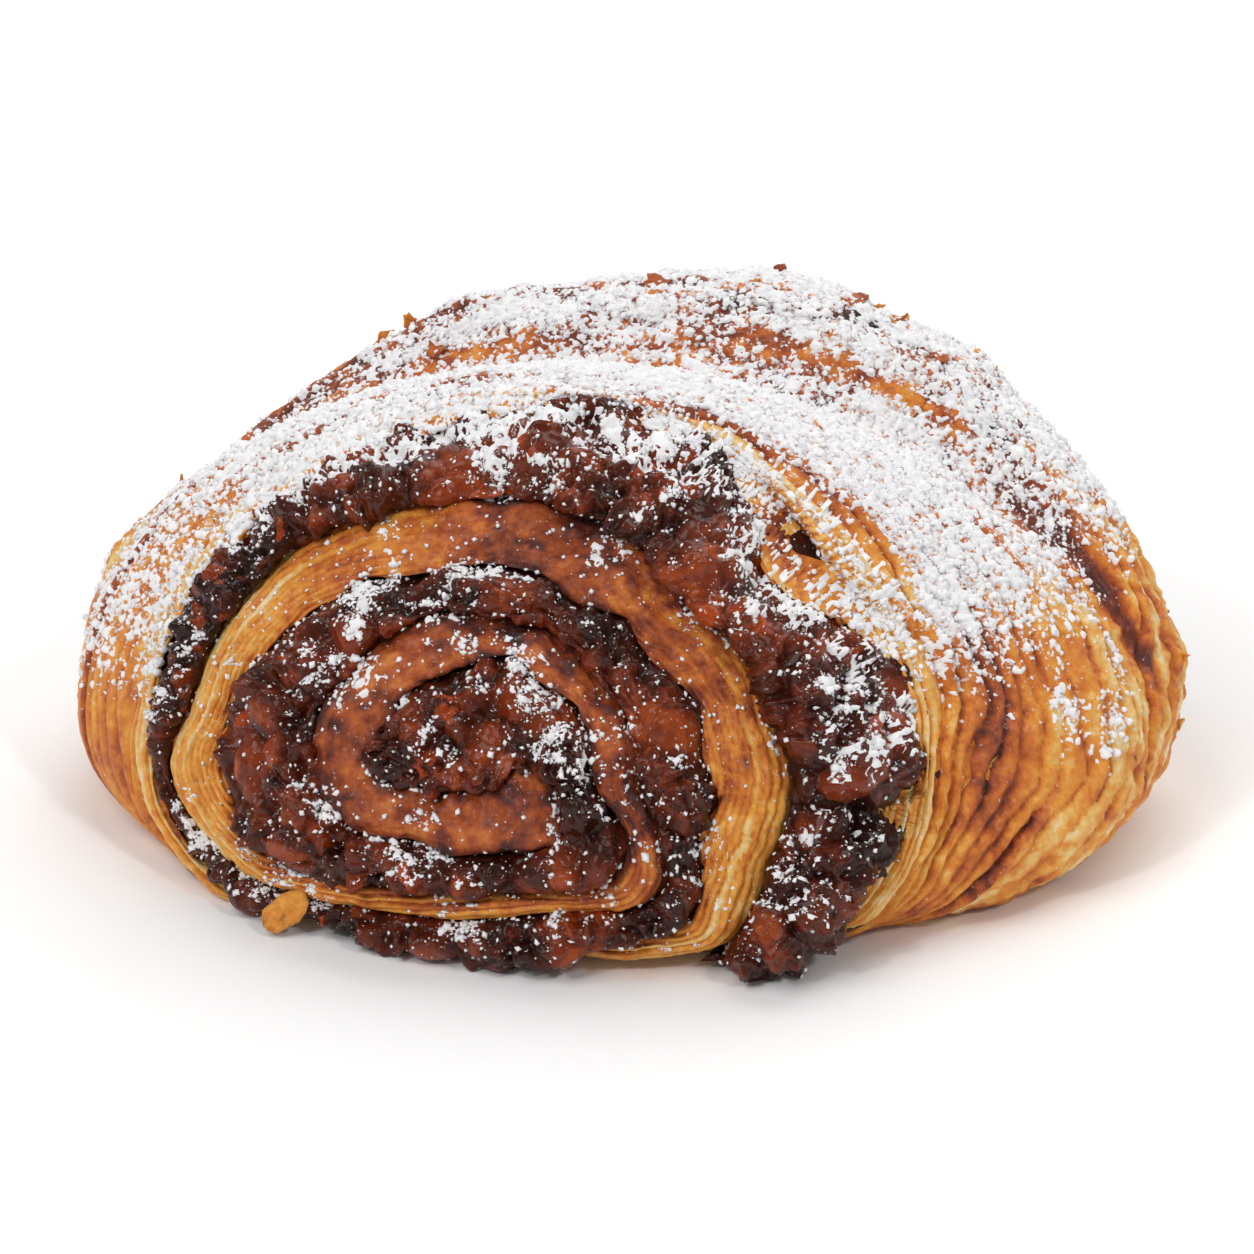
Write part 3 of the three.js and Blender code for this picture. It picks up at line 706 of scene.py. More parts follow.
def clumps(p, cover, size, thick):
    """Height of caked sugar over a surface, below zero where there is none. A clump is a cell of cell
    noise that is kept where its number is under the cover, domed by one minus distance squared and
    drawn out along the layers. Two sizes are laid over each other."""
    warped = p * [0.9, 1.1, 0.9] + 0.3 * size * noise_vectors(p, 0.9 * size, 63)
    raised = np.full(cover.shape, BELOW)
    for scale, seed, share in ((1.0, 66, 1.0), (0.5, 71, 0.7)):
        distance, _, own = cells(warped, size * scale, seed)
        dome = share * thick * (0.4 + 1.1 * own) * (1 - (distance / 0.62) ** 2)
        kept = scramble(own * 1e6, own * 0, own * 0, seed) < cover
        raised = np.maximum(raised, np.where(kept, dome, BELOW))
    return raised + 0.10 * noise(p, 0.4, 75)


def upward(points):
    """Unit normals of an open grid over the crust, turned so that their heights sum to more than zero."""
    normal = outward(points, closed=False)
    return normal * np.sign(np.sum(normal[..., 2]))


@cache
def sugar_sheet(start, end, row_start, row_end, step, clump, thick, pitch, depth):
    """The sheet of caked sugar over the crust: the crust's own surface raised by clumps, dipping under
    the crust where there are none, and thinner in the gaps between its layers."""
    turns = turns_by_length(start, end, step, dough_out)
    rim = np.linspace(0.05, 1, RIM_ROWS)[:-1] if row_start == 0 else np.zeros(0)
    rows = np.linspace(row_start, row_end, int((row_end - row_start) * ROLL_LENGTH / step))
    side = np.concatenate([rim, np.ones(len(rows))])[None, :]
    rows = np.concatenate([np.zeros(len(rim)), rows])[None, :]
    layer = sleeve(turns, rows, side, dough_inner, dough_outer, dough_proud)
    height, _, leaf = dough_relief(layer, pitch, depth)
    layer["p"] = layer["p"] + upward(layer["p"]) * height[..., None]
    cover = sugar_cover(layer["q"], layer["row"], layer["p"], layer["front"])
    on_wall = bell(layer["q"] - WALL_SHADE[0], WALL_SHADE[1]) * (layer["row"] == 0)
    on_wall = on_wall * (1 - smooth(layer["side"], 0.5, 0.9))
    cover = cover * (0.72 + 0.35 * leaf) * (1 - 0.8 * on_wall)
    raised = clumps(layer["p"], cover, clump, thick)
    layer["p"] = layer["p"] + upward(layer["p"]) * raised[..., None]
    layer["lying"] = raised > LYING_FROM
    return layer


def patches(p, broad, size, small):
    """Patches where sugar has caught: broad noise times small noise, each cut off softly at its limits."""
    return smooth(noise(p, 5, 81, 2), *broad) * smooth(noise(p, size, 82), *small)


def face_cover(layer):
    """How much sugar has caught on the swirl: on what faces up at the two ends, in patches of noise,
    most of all on top of the outermost filling."""
    up = smooth(layer["up"], 0.0, 0.55) * smooth(layer["n"][..., 2], -0.1, 0.3)
    patch = patches(layer["p"], (0.05, 0.40), 1.8, (-0.4, 0.2))
    on_filling = "burn_and_shade" in layer
    outermost = smooth(layer["q"], 6.2, 6.7) * (1 - smooth(layer["q"], 7.85, 8.1)) * on_filling
    cap = outermost * smooth(layer["side"] + 0.35 * noise(layer["p"], 5, 83, 2), 0.60, 1.05)
    cap = cap * (1 - 0.8 * smooth(layer["side"], 0.88, 0.98))
    caught = 0.62 * (1 - 0.6 * smooth(layer["q"], 8.10, 8.25)) if on_filling else 0.36
    return (1 - smooth(from_face(layer), 0.8, 2.5)) * up * np.clip(caught * patch + 0.60 * cap, 0, 1)


def face_sugar(layer, clump, thick):
    """The caked sugar on the swirl: the layer's own surface raised by clumps, kept where some has caught."""
    cover = face_cover(layer)
    raised = clumps(layer["p"], cover, clump, thick)
    return {"p": layer["p"] + layer["lift"] * raised[..., None],
            "lying": (raised > LYING_FROM) & (cover > CAUGHT_FROM)}


def clump_weight(layer):
    """How likely a loose clump is: by a power of the crust's cover, on what faces up."""
    cover = sugar_cover(layer["q"], layer["row"], layer["p"], layer["front"])
    return cover**1.5 * (layer["side"] > 0.2) * smooth(layer["n"][..., 2], 0.0, 0.3)


def grain_weight(layer):
    """How likely a grain is: at the two faces, in patches on what faces up, less on dough, rare elsewhere."""
    at_face = from_face(layer) < 1.5
    caught = 1.0 if "burn_and_shade" in layer else 0.45
    patch = patches(layer["p"], (-0.05, 0.45), 1.6, (-0.2, 0.3))
    return at_face * caught * (0.02 + smooth(layer["up"], 0.1, 0.7) * (0.05 + patch))


def pick(layer, weight, count, rng):
    """Draws vertices of a surface, each with a chance of its weight times the area round it."""
    du = np.gradient(layer["p"], axis=0)
    dv = np.gradient(layer["p"], axis=1)
    area = np.linalg.norm(np.cross(du, dv), axis=-1)
    chance = (np.clip(weight, 0, None) * np.minimum(area, 1.0)).ravel()
    chosen = rng.choice(chance.size, count, p=chance / chance.sum())
    return layer["p"].reshape(-1, 3)[chosen], layer["n"].reshape(-1, 3)[chosen]


CLUMP_RADII, GRAIN_RADII = (0.16, 0.42), (0.10, 0.40)    # of the smallest and largest loose sugar
MOSTLY_SMALL = 2.5          # power that makes small radii the more common
SCATTERED, RAISED = 0.12, 0.3       # how far a lump lies off its place, and up from it by its radius
LUMP_UNEVEN, LUMP_FLAT = 0.28, 0.65         # unevenness of a lump, and its height by its width
GRAIN_SEED, FLAKE_SEED = 7, 9


def icosahedron():
    """The 12 corners and 20 faces of an icosahedron of radius 1."""
    g = (1 + 5**0.5) / 2
    corners = np.array([(-1, g, 0), (1, g, 0), (-1, -g, 0), (1, -g, 0), (0, -1, g), (0, 1, g),
                        (0, -1, -g), (0, 1, -g), (g, 0, -1), (g, 0, 1), (-g, 0, -1), (-g, 0, 1)])
    faces = np.array([(0, 11, 5), (0, 5, 1), (0, 1, 7), (0, 7, 10), (0, 10, 11), (1, 5, 9), (5, 11, 4),
                      (11, 10, 2), (10, 7, 6), (7, 1, 8), (3, 9, 4), (3, 4, 2), (3, 2, 6), (3, 6, 8),
                      (3, 8, 9), (4, 9, 5), (2, 4, 11), (6, 2, 10), (8, 6, 7), (9, 8, 1)])
    return corners / np.sqrt(1 + g * g), faces


def octahedron():
    """The 6 corners and 8 faces of an octahedron of radius 1."""
    corners = np.array([(1, 0, 0), (-1, 0, 0), (0, 1, 0), (0, -1, 0), (0, 0, 1), (0, 0, -1)], float)
    faces = np.array([(0, 2, 4), (2, 1, 4), (1, 3, 4), (3, 0, 4), (2, 0, 5), (1, 2, 5), (3, 1, 5), (0, 3, 5)])
    return corners, faces


def frames_on(normals, rng):
    """For each normal, three unit axes: two across it, turned at random, and the normal itself."""
    spin = rng.normal(size=normals.shape)
    first = np.cross(normals, spin)
    first /= np.linalg.norm(first, axis=1, keepdims=True)
    return np.stack([first, np.cross(normals, first), normals], axis=1)


def lumps(solid, centres, normals, sizes, flat, rng):
    """Small uneven lumps: a solid with each corner pushed in or out at random, flattened along the
    surface it lies on."""
    corners, faces = solid
    count = len(centres)
    ball = corners[None] * (1 + LUMP_UNEVEN * rng.uniform(-1, 1, (count, len(corners), 1)))
    ball = ball * (sizes[:, None] * rng.uniform(0.7, 1.3, (count, 3)) * [1, 1, flat])[:, None, :]
    points = centres[:, None] + np.einsum("nvk,nkc->nvc", ball, frames_on(normals, rng))
    index = faces[None] + (np.arange(count) * len(corners))[:, None, None]
    return points.reshape(-1, 3), index.reshape(-1, 3)


# ---- Flakes ------------------------------------------------------------------------------------
LARGE_FLAKES = (    # quarter turn, row, size, tilt and tone
    (10.53, 0.68, 1.6, 0.5, 0.42), (10.50, 0.71, 1.3, 0.4, 0.48), (10.58, 0.67, 1.4, 0.3, 0.40),
    (10.67, 0.51, 1.4, 0.3, 0.62), (10.91, 0.64, 1.5, 0.2, 0.62), (11.15, 0.70, 1.5, 0.2, 0.60),
    (11.22, 0.74, 1.3, 0.3, 0.58), (10.34, 0.30, 1.2, 0.3, 0.60), (11.05, 0.80, 1.3, 0.3, 0.62),
    (11.93, 0.80, 1.3, 0.3, 0.40), (12.10, 0.62, 1.3, 0.2, 0.22),
)
# A torn tongue of dough on the filling at the lower left of the shown end: quarter turn of the filling,
# place across it from 0 to 1, lift, size and tone.
TONGUE = (5.34, 0.40, 0.3, 3.0, 0.36)
TONGUE_FACING = [-0.1, -0.9, 0.4]
SMOOTH_EDGED_FROM = 2.5     # flakes above this size have a smoother edge
FLAKE_RINGS, FLAKE_SPOKES = 4, 14
HALF_THICKNESS = 0.13       # of a flake
FLAKE_ROWS, FLAKES_FROM, FLAKES_TO = (0.4, 0.6), (9.6, 10.2), (11.9, 12.3)     # where loose flakes lie


def nearest(parts, quarter, row, side=1):
    """The point and normal of the place whose quarter turn, row and side come nearest."""
    def miss(x):
        """The sum of the squares of the three differences."""
        return (x["q"] - quarter) ** 2 + (x["row"] - row) ** 2 + (x["side"] - side) ** 2
    part = min(parts, key=lambda x: miss(x).min())
    at = np.unravel_index(np.argmin(miss(part)), part["q"].shape)
    return part["p"][at], part["n"][at]


def flake_solids(centres, normals, sizes, tilts, rng):
    """Torn curled flakes: a round patch with an uneven edge, bent by the square of one direction and
    tilted up from the surface, given two faces and joined round its edge."""
    rings, spokes = FLAKE_RINGS, FLAKE_SPOKES
    turn = np.linspace(0, 2 * np.pi, spokes, endpoint=False)
    radius = np.linspace(0, 1, rings + 1)[1:]
    count = len(centres)
    tear = np.where(sizes > SMOOTH_EDGED_FROM, 0.10, 0.30)[:, None, None]
    ragged = 1 + tear * rng.uniform(-1, 1, (count, 1, spokes))
    a = (radius[None, :, None] * ragged) * np.cos(turn)
    b = (radius[None, :, None] * ragged) * np.sin(turn) * rng.uniform(0.45, 0.9, (count, 1, 1))
    a = np.concatenate([np.zeros((count, 1)), a.reshape(count, -1)], axis=1)
    b = np.concatenate([np.zeros((count, 1)), b.reshape(count, -1)], axis=1)
    curl = rng.uniform(0.15, 0.5, (count, 1))
    lift = curl * a**2 + 0.25 * curl * a * b + 0.05 * rng.normal(size=a.shape)
    sheet = np.stack([a, b, lift], axis=-1) * sizes[:, None, None]
    axes = frames_on(normals, rng)
    c, s = np.cos(tilts)[:, None], np.sin(tilts)[:, None]
    axes = np.stack([c * axes[:, 0] + s * axes[:, 2], axes[:, 1], c * axes[:, 2] - s * axes[:, 0]], axis=1)
    sheet[..., 0] += sizes[:, None] * 0.75 * np.abs(np.sin(tilts))[:, None]
    body = centres[:, None] + np.einsum("nvk,nkc->nvc", sheet, axes)
    half = HALF_THICKNESS * axes[:, 2][:, None]
    points = np.concatenate([body + half, body - half], axis=1)
    per = 1 + rings * spokes
    j = np.arange(spokes)
    k = (j + 1) % spokes
    fan = np.stack([0 * j, 1 + j, 1 + k], axis=1)
    faces = [fan]
    for ring in range(rings - 1):
        low, high = 1 + ring * spokes, 1 + (ring + 1) * spokes
        faces += [np.stack([low + j, high + j, high + k], 1), np.stack([low + j, high + k, low + k], 1)]
    top = np.concatenate(faces)
    rim = 1 + (rings - 1) * spokes
    edge = np.concatenate([np.stack([rim + j, per + rim + j, per + rim + k], 1),
                           np.stack([rim + j, per + rim + k, rim + k], 1)])
    one = np.concatenate([top, top[:, ::-1] + per, edge])
    index = one[None] + (np.arange(count) * 2 * per)[:, None, None]
    return points.reshape(-1, 3), index.reshape(-1, 3)


# ---- Meshes ------------------------------------------------------------------------------------
def build_mesh(name, points, faces, attributes, material):
    """Puts points in millimetres, times MM, and arrays of faces into a new object that rides on the part."""
    mesh = bpy.data.meshes.new(name)
    sizes = np.concatenate([np.full(len(group), group.shape[1]) for group in faces])
    loops = np.concatenate([group.ravel() for group in faces])
    mesh.vertices.add(len(points))
    mesh.vertices.foreach_set("co", (np.asarray(points) * MM).astype(np.float32).ravel())
    mesh.loops.add(len(loops))
    mesh.loops.foreach_set("vertex_index", loops.astype(np.int32))
    mesh.polygons.add(len(sizes))
    mesh.polygons.foreach_set("loop_start", (np.cumsum(sizes) - sizes).astype(np.int32))
    mesh.update(calc_edges=True)
    mesh.polygons.foreach_set("use_smooth", np.ones(len(sizes), bool))
    for label, values in attributes.items():
        layer = mesh.attributes.new(label, "FLOAT", "POINT")
        layer.data.foreach_set("value", np.asarray(values, dtype=np.float32).ravel())
    mesh.materials.append(material)
    mesh.validate()
    piece = bpy.data.objects.new(name, mesh)
    bpy.context.scene.collection.objects.link(piece)
    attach(piece, BODY)
    return piece


def grid_faces(rows, columns, closed):
    """Four-cornered faces between neighbouring stations, joined round where the grid is closed."""
    i = np.arange(rows - 1)[:, None]
    j = np.arange(columns if closed else columns - 1)[None, :]
    k = (j + 1) % columns
    return np.stack(np.broadcast_arrays(i * columns + j, (i + 1) * columns + j,
                                        (i + 1) * columns + k, i * columns + k), axis=-1).reshape(-1, 4)


def cap_faces(rows, side):
    """Triangles that close the ring of stations at the end of a sleeve: a strip between the outer side
    and the nearest rows of the inner side, and a fan over each edge."""
    outer = np.flatnonzero(side == 1)
    inner = np.flatnonzero(side == 0)
    facing = inner[np.abs(rows[outer][:, None] - rows[inner][None, :]).argmin(axis=1)]
    strip = np.stack([outer[:-1], outer[1:], facing[:-1]], axis=1)
    step = np.stack([outer[1:], facing[1:], facing[:-1]], axis=1)[facing[1:] != facing[:-1]]
    back = np.arange(outer[-1] + 1, inner[0])
    front = np.arange(inner[-1], len(side) - 1)
    return np.concatenate([strip, step, np.stack([0 * back + outer[-1], back, back + 1], axis=1),
                           np.stack([0 * front, front, front + 1], axis=1)])


def sleeve_mesh(name, layer, labels, material):
    """The closed mesh of a sleeve: its grid and a cap at both ends, turned round if the volume that the
    grid encloses comes out negative."""
    points = layer["p"].reshape(-1, 3)
    rows, columns = layer["p"].shape[:2]
    grid = grid_faces(rows, columns, True)
    cap = cap_faces(layer["row"][0], layer["side"][0])
    a, b, c = (points[grid[:, i]] - points.mean(0) for i in range(3))
    groups = [grid, cap, cap[:, ::-1] + (rows - 1) * columns]
    if np.sum(a * np.cross(b, c)) < 0:
        groups = [group[:, ::-1] for group in groups]
    return build_mesh(name, points, groups, {x: layer[x] for x in labels}, material)


def sheet_mesh(name, layer, closed, material):
    """The open mesh of what lies on a grid, with the rest of the grid left out."""
    points = layer["p"].reshape(-1, 3)
    faces = grid_faces(*layer["p"].shape[:2], closed)
    faces = faces[layer["lying"].ravel()[faces].any(axis=1)]
    a, b, c, d = (points[faces[:, i]] for i in range(4))
    if np.cross(c - a, d - b)[:, 2].sum() < 0:
        faces = faces[:, ::-1]
    used, faces = np.unique(faces, return_inverse=True)
    return build_mesh(name, points[used], [faces.reshape(-1, 4)], {}, material)


# ---- Materials ---------------------------------------------------------------------------------
def linear(colour):
    """An sRGB hex colour as linear red, green, blue and 1."""
    value = np.array([int(colour[i:i + 2], 16) for i in (1, 3, 5)]) / 255
    value = np.where(value <= 0.04045, value / 12.92, ((value + 0.055) / 1.055) ** 2.4)
    return (*[float(x) for x in value], 1.0)


def per_metre(millimetres):
    """The scale of a noise texture whose features are that large."""
    return 1000.0 / millimetres


def node(tree, kind, settings=None, links=None):
    """Adds a node. Settings are its own properties, its inputs' values or the stops of a colour ramp;
    links give inputs a node, or a node and the name of its output."""
    made = tree.nodes.new(kind)
    for key, value in (settings or {}).items():
        if key == "stops":
            elements = made.color_ramp.elements
            for i, (spot, colour) in enumerate(value):
                element = elements[i] if i < 2 else elements.new(spot)
                element.position = spot
                element.color = linear(colour) if isinstance(colour, str) else colour
        elif isinstance(key, str) and hasattr(made, key):
            setattr(made, key, value)
        else:
            made.inputs[key].default_value = value
    for key, source in (links or {}).items():
        source, output = source if isinstance(source, tuple) else (source, 0)
        tree.links.new(source.outputs[output], made.inputs[key])
    return made


def new_material(name):
    """An empty material, its node tree, and the output that gives places on the object in metres."""
    material = bpy.data.materials.get(name) or bpy.data.materials.new(name)
    material.use_nodes = True
    tree = material.node_tree
    tree.nodes.clear()
    return material, tree, (node(tree, "ShaderNodeTexCoord"), "Object")


def close_material(tree, settings, links):
    """Adds the shader, with its settings and links, and the material's output."""
    shader = node(tree, "ShaderNodeBsdfPrincipled", settings, links)
    node(tree, "ShaderNodeOutputMaterial", links={"Surface": shader})


def dusted(tree, coords, colour):
    """The colour with specks of sugar where fine noise plus the dust attribute passes a threshold."""
    specks = node(tree, "ShaderNodeTexNoise", {"Scale": per_metre(0.55), "Detail": 2.0}, {"Vector": coords})
    dust = (node(tree, "ShaderNodeAttribute", {"attribute_name": "dust"}), "Fac")
    lifted = node(tree, "ShaderNodeMath", {"operation": "MULTIPLY_ADD", 1: 0.32}, {0: dust, 2: specks})
    share = node(tree, "ShaderNodeMapRange", {"From Min": 0.68, "From Max": 0.80, "To Max": 0.80},
                 {"Value": lifted})
    return node(tree, "ShaderNodeMix", {"data_type": "RGBA", 7: linear("#F2EEEE")}, {0: share, 6: colour})


def baked_dough(dough):
    """Laminated yeast dough, egg-washed and baked: cream where its layers are cut, gold to dark brown
    where it browned, and darker where shade is painted into its tone, with a soft shine and fine pores."""
    material, tree, coords = new_material("baked laminated dough")
    broad = node(tree, "ShaderNodeTexNoise", {"Scale": per_metre(3.0), "Detail": 4.0}, {"Vector": coords})
    fine = node(tree, "ShaderNodeTexNoise", {"Scale": per_metre(0.8), "Detail": 3.0}, {"Vector": coords})
    tone = (node(tree, "ShaderNodeAttribute", {"attribute_name": "tone"}), "Fac")
    # Each adds its noise, centred on zero, times a share of the whole range of tones.
    tone = node(tree, "ShaderNodeMath", {"operation": "MULTIPLY_ADD", 1: 0.34}, {0: broad, 2: tone})
    tone = node(tree, "ShaderNodeMath", {"operation": "MULTIPLY_ADD", 1: 0.30}, {0: fine, 2: tone})
    tone = node(tree, "ShaderNodeMath", {"operation": "SUBTRACT", "use_clamp": True, 1: 0.32}, {0: tone})
    gold = node(tree, "ShaderNodeValToRGB", {"stops": [
        (0.0, "#FDEAC0"), (1.0, "#260D08"), (0.14, dough.cream), (0.30, "#F4A63E"), (0.45, dough.gold),
        (0.60, "#BA581C"), (0.75, dough.brown), (0.88, "#4C1C0E")]}, {"Fac": tone})
    moist = node(tree, "ShaderNodeValToRGB", {"stops": [
        (0.0, "#EBA866"), (1.0, "#300F08"), (0.34, "#D27630"), (0.52, "#B5551C"), (0.68, "#8E3A14"),
        (0.82, "#5A200F")]}, {"Fac": tone})
    rosy = (node(tree, "ShaderNodeAttribute", {"attribute_name": "rosy"}), "Fac")
    mixed = node(tree, "ShaderNodeMix", {"data_type": "RGBA"}, {0: rosy, 6: gold, 7: moist})
    mixed = dusted(tree, coords, (mixed, 2))
    rough = node(tree, "ShaderNodeMapRange",
                 {"From Min": 0.2, "From Max": 0.9, "To Min": 0.60, "To Max": 0.36}, {"Value": tone})
    pores = node(tree, "ShaderNodeTexNoise", {"Scale": per_metre(0.6), "Detail": 5.0, "Roughness": 0.7,
                                            "Distortion": 0.8}, {"Vector": coords})
    bump = node(tree, "ShaderNodeBump", {"Strength": 0.9, "Distance": 0.45 * MM}, {"Height": pores})
    close_material(tree, {"IOR": 1.45, "Coat Weight": 0.15, "Coat Roughness": 0.25},
                   {"Base Color": (mixed, 2), "Roughness": rough, "Normal": bump})
    return material


def caramelised_filling(filling):
    """Cinnamon, sugar and butter boiled and set: almost black where burnt, red-brown where jammy and amber
    where it is thin, with painted shade darker in the hollows between the crags and on the hidden sides,
    and small sticky glints."""
    material, tree, coords = new_material("caramelised cinnamon filling")
    broad = node(tree, "ShaderNodeTexNoise", {"Scale": per_metre(2.4), "Detail": 5.0}, {"Vector": coords})
    burn_and_shade = (node(tree, "ShaderNodeAttribute", {"attribute_name": "burn_and_shade"}), "Fac")
    burn_and_shade = node(tree, "ShaderNodeMath", {"operation": "MULTIPLY_ADD", 1: 1.1}, {0: broad, 2: burn_and_shade})
    burn_and_shade = node(tree, "ShaderNodeMath", {"operation": "SUBTRACT", "use_clamp": True, 1: 0.55}, {0: burn_and_shade})
    colour = node(tree, "ShaderNodeValToRGB", {"stops": [
        (0.0, "#A04418"), (1.0, "#180604"), (0.25, filling.jam), (0.5, "#49170C"),
        (0.75, filling.burnt)]}, {"Fac": burn_and_shade})
    amber = (node(tree, "ShaderNodeAttribute", {"attribute_name": "amber"}), "Fac")
    mixed = node(tree, "ShaderNodeMix", {"data_type": "RGBA", 7: linear("#B0430F")}, {0: amber, 6: colour})
    mixed = dusted(tree, coords, (mixed, 2))
    rough = node(tree, "ShaderNodeMapRange", {"To Min": 0.16, "To Max": 0.36}, {"Value": burn_and_shade})
    grit = node(tree, "ShaderNodeTexNoise", {"Scale": per_metre(0.9), "Detail": 6.0, "Roughness": 0.65,
                                           "Distortion": 0.6}, {"Vector": coords})
    bump = node(tree, "ShaderNodeBump", {"Strength": 1.0, "Distance": 0.7 * MM}, {"Height": grit})
    close_material(tree, {"IOR": 1.45, "Specular IOR Level": 0.32, "Specular Tint": linear("#F09C68"),
                          "Coat Weight": 0.48, "Coat Roughness": 0.03},
                   {"Base Color": (mixed, 2), "Roughness": rough, "Normal": bump})
    return material


def icing_sugar(sugar):
    """Icing sugar, milled to powder and sifted on: matt white that scatters light in its grains."""
    material, tree, coords = new_material("sifted icing sugar")
    shade = node(tree, "ShaderNodeTexNoise", {"Scale": per_metre(1.2), "Detail": 3.0}, {"Vector": coords})
    colour = node(tree, "ShaderNodeValToRGB",
                  {"stops": [(0.3, "#EDECEF"), (0.7, sugar.colour)]}, {"Fac": shade})
    powder = node(tree, "ShaderNodeTexNoise", {"Scale": per_metre(0.3), "Detail": 3.0}, {"Vector": coords})
    bump = node(tree, "ShaderNodeBump", {"Strength": 0.6, "Distance": 0.2 * MM}, {"Height": powder})
    close_material(tree, {"Roughness": 0.95, "IOR": 1.4, "Specular IOR Level": 0.2},
                   {"Base Color": colour, "Normal": bump})
    return material


def studio_floor(stage):
    """Matt white studio board: even white, with a rough surface and hardly any shine."""
    material, tree, coords = new_material("matt white board")
    grain = node(tree, "ShaderNodeTexNoise", {"Scale": per_metre(40), "Detail": 2.0}, {"Vector": coords})
    colour = node(tree, "ShaderNodeValToRGB",
                  {"stops": [(0.0, "#FDFDFD"), (1.0, stage.floor)]}, {"Fac": grain})
    close_material(tree, {"Roughness": 0.9, "Specular IOR Level": 0.1}, {"Base Color": colour})
    return material


# ---- Settings ----------------------------------------------------------------------------------
def colour_setting(name, description, colour):
    """A colour that can be changed, given as sRGB hex."""
    return bpy.props.FloatVectorProperty(name=name, description=description, default=linear(colour),
                                         size=4, min=0, max=1, subtype="COLOR")


class DoughSettings(bpy.types.PropertyGroup):
    """Layers and colours of the dough"""
    pitch: bpy.props.FloatProperty(
        name="Layer Pitch", description="Distance between the layers of the cut dough, in millimetres",
        default=0.9, min=0.3, max=3.0)
    depth: bpy.props.FloatProperty(
        name="Ridge Depth", description="Depth of the ridges, as a factor", default=1.0, min=0.0, max=3.0,
        subtype="FACTOR")
    cream: colour_setting("Cut Layers", "Colour of the pale cut layers", "#FBCE7C")
    gold: colour_setting("Golden Crust", "Colour of the crust where it is golden", "#E28128")
    brown: colour_setting("Brown Crust", "Colour of the crust where it is dark", "#7F3213")


class FillingSettings(bpy.types.PropertyGroup):
    """Crags and colours of the filling"""
    lump: bpy.props.FloatProperty(
        name="Lump Size", description="Size of the large crags, in millimetres", default=4.4, min=1, max=12)
    depth: bpy.props.FloatProperty(
        name="Crag Depth", description="Height of the crags, as a factor", default=1.0, min=0.0, max=3.0,
        subtype="FACTOR")
    jam: colour_setting("Jammy Filling", "Colour of the filling where it is moist", "#742A12")
    burnt: colour_setting("Burnt Filling", "Colour of the filling where it is burnt", "#2B0C08")


class SugarSettings(bpy.types.PropertyGroup):
    """Clumps, grains and colour of the icing sugar"""
    clump: bpy.props.FloatProperty(
        name="Clump Size", description="Size of the clumps of icing sugar, in millimetres",
        default=0.8, min=0.4, max=4)
    thick: bpy.props.FloatProperty(
        name="Thickness", description="Height of the clumps, in millimetres", default=0.48, min=0.1, max=2)
    clumps: bpy.props.IntProperty(
        name="Loose Clumps", description="Number of loose clumps on the crust", default=9500, min=0, max=9900)
    grains: bpy.props.IntProperty(
        name="Grains", description="Number of small grains on the swirl", default=13000, min=0, max=24900)
    colour: colour_setting("Sugar", "Colour of the icing sugar", "#FBFAF9")


class FlakeSettings(bpy.types.PropertyGroup):
    """Number and size of the torn flakes"""
    count: bpy.props.IntProperty(
        name="Flakes", description="Number of loose flakes on the crust", default=48, min=1, max=400)
    size: bpy.props.FloatProperty(
        name="Flake Size", description="Radius of a middling flake, in millimetres",
        default=0.9, min=0.3, max=6)


class StageSettings(bpy.types.PropertyGroup):
    """Camera and floor"""
    azimuth: bpy.props.FloatProperty(
        name="Azimuth", description="Direction of the camera from the front, to the right",
        default=np.radians(15), subtype="ANGLE", unit="ROTATION")
    elevation: bpy.props.FloatProperty(
        name="Elevation", description="Height of the camera above the horizon",
        default=np.radians(23), subtype="ANGLE", unit="ROTATION")
    distance: bpy.props.FloatProperty(
        name="Distance", description="Distance of the camera from the pastry", default=0.62,
        subtype="DISTANCE", unit="LENGTH")
    lens: bpy.props.FloatProperty(
        name="Lens", description="Focal length of the camera", default=160.2, unit="CAMERA")
    floor: colour_setting("Floor", "Colour of the floor", "#FFFFFF")


class PastrySettings(bpy.types.PropertyGroup):
    """All the pastry's settings, by group"""
    dough: bpy.props.PointerProperty(type=DoughSettings)
    filling: bpy.props.PointerProperty(type=FillingSettings)
    sugar: bpy.props.PointerProperty(type=SugarSettings)
    flakes: bpy.props.PointerProperty(type=FlakeSettings)
    stage: bpy.props.PointerProperty(type=StageSettings)


# ---- Stretches of the layers, each small enough for one mesh -----------------------------------
# Where each starts and ends, in quarter turns, and the step between its stations in millimetres.
SKIN_STRETCHES = {"left": (9.0, 10.35, 0.38), "top": (10.35, 11.3, 0.36), "right": (11.3, DOUGH_END, 0.30)}
SWIRL_STRETCHES = {"inner": (0.0, 5.2, 0.26), "outer": (5.2, 9.0, 0.26)}
FILLING_STRETCHES = {"inner": (BLOB_START, 4.2, 0.30), "middle": (4.2, 6.3, 0.28),
                     "outer": (6.3, FILLING_END, 0.26)}
# Rows on the outside, 0 for the few of a hidden side, and stations over the front and the back edge.
SKIN_ROWS, SWIRL_ROWS, FILLING_ROWS = (220, 34, 24), (0, 44, 26), (62, 30)
SUGAR_STEP = 0.21
SUGAR_STRETCHES = {     # quarter turns, rows
    "front_left": ((9.85, 10.95), (0, 0.33)), "front_right": ((10.95, 12.0), (0, 0.33)),
    "middle_left": ((9.85, 10.95), (0.33, 0.66)), "middle_right": ((10.95, 12.0), (0.33, 0.66)),
    "back_left": ((9.85, 10.95), (0.66, 0.97)), "back_right": ((10.95, 12.0), (0.66, 0.97)),
}


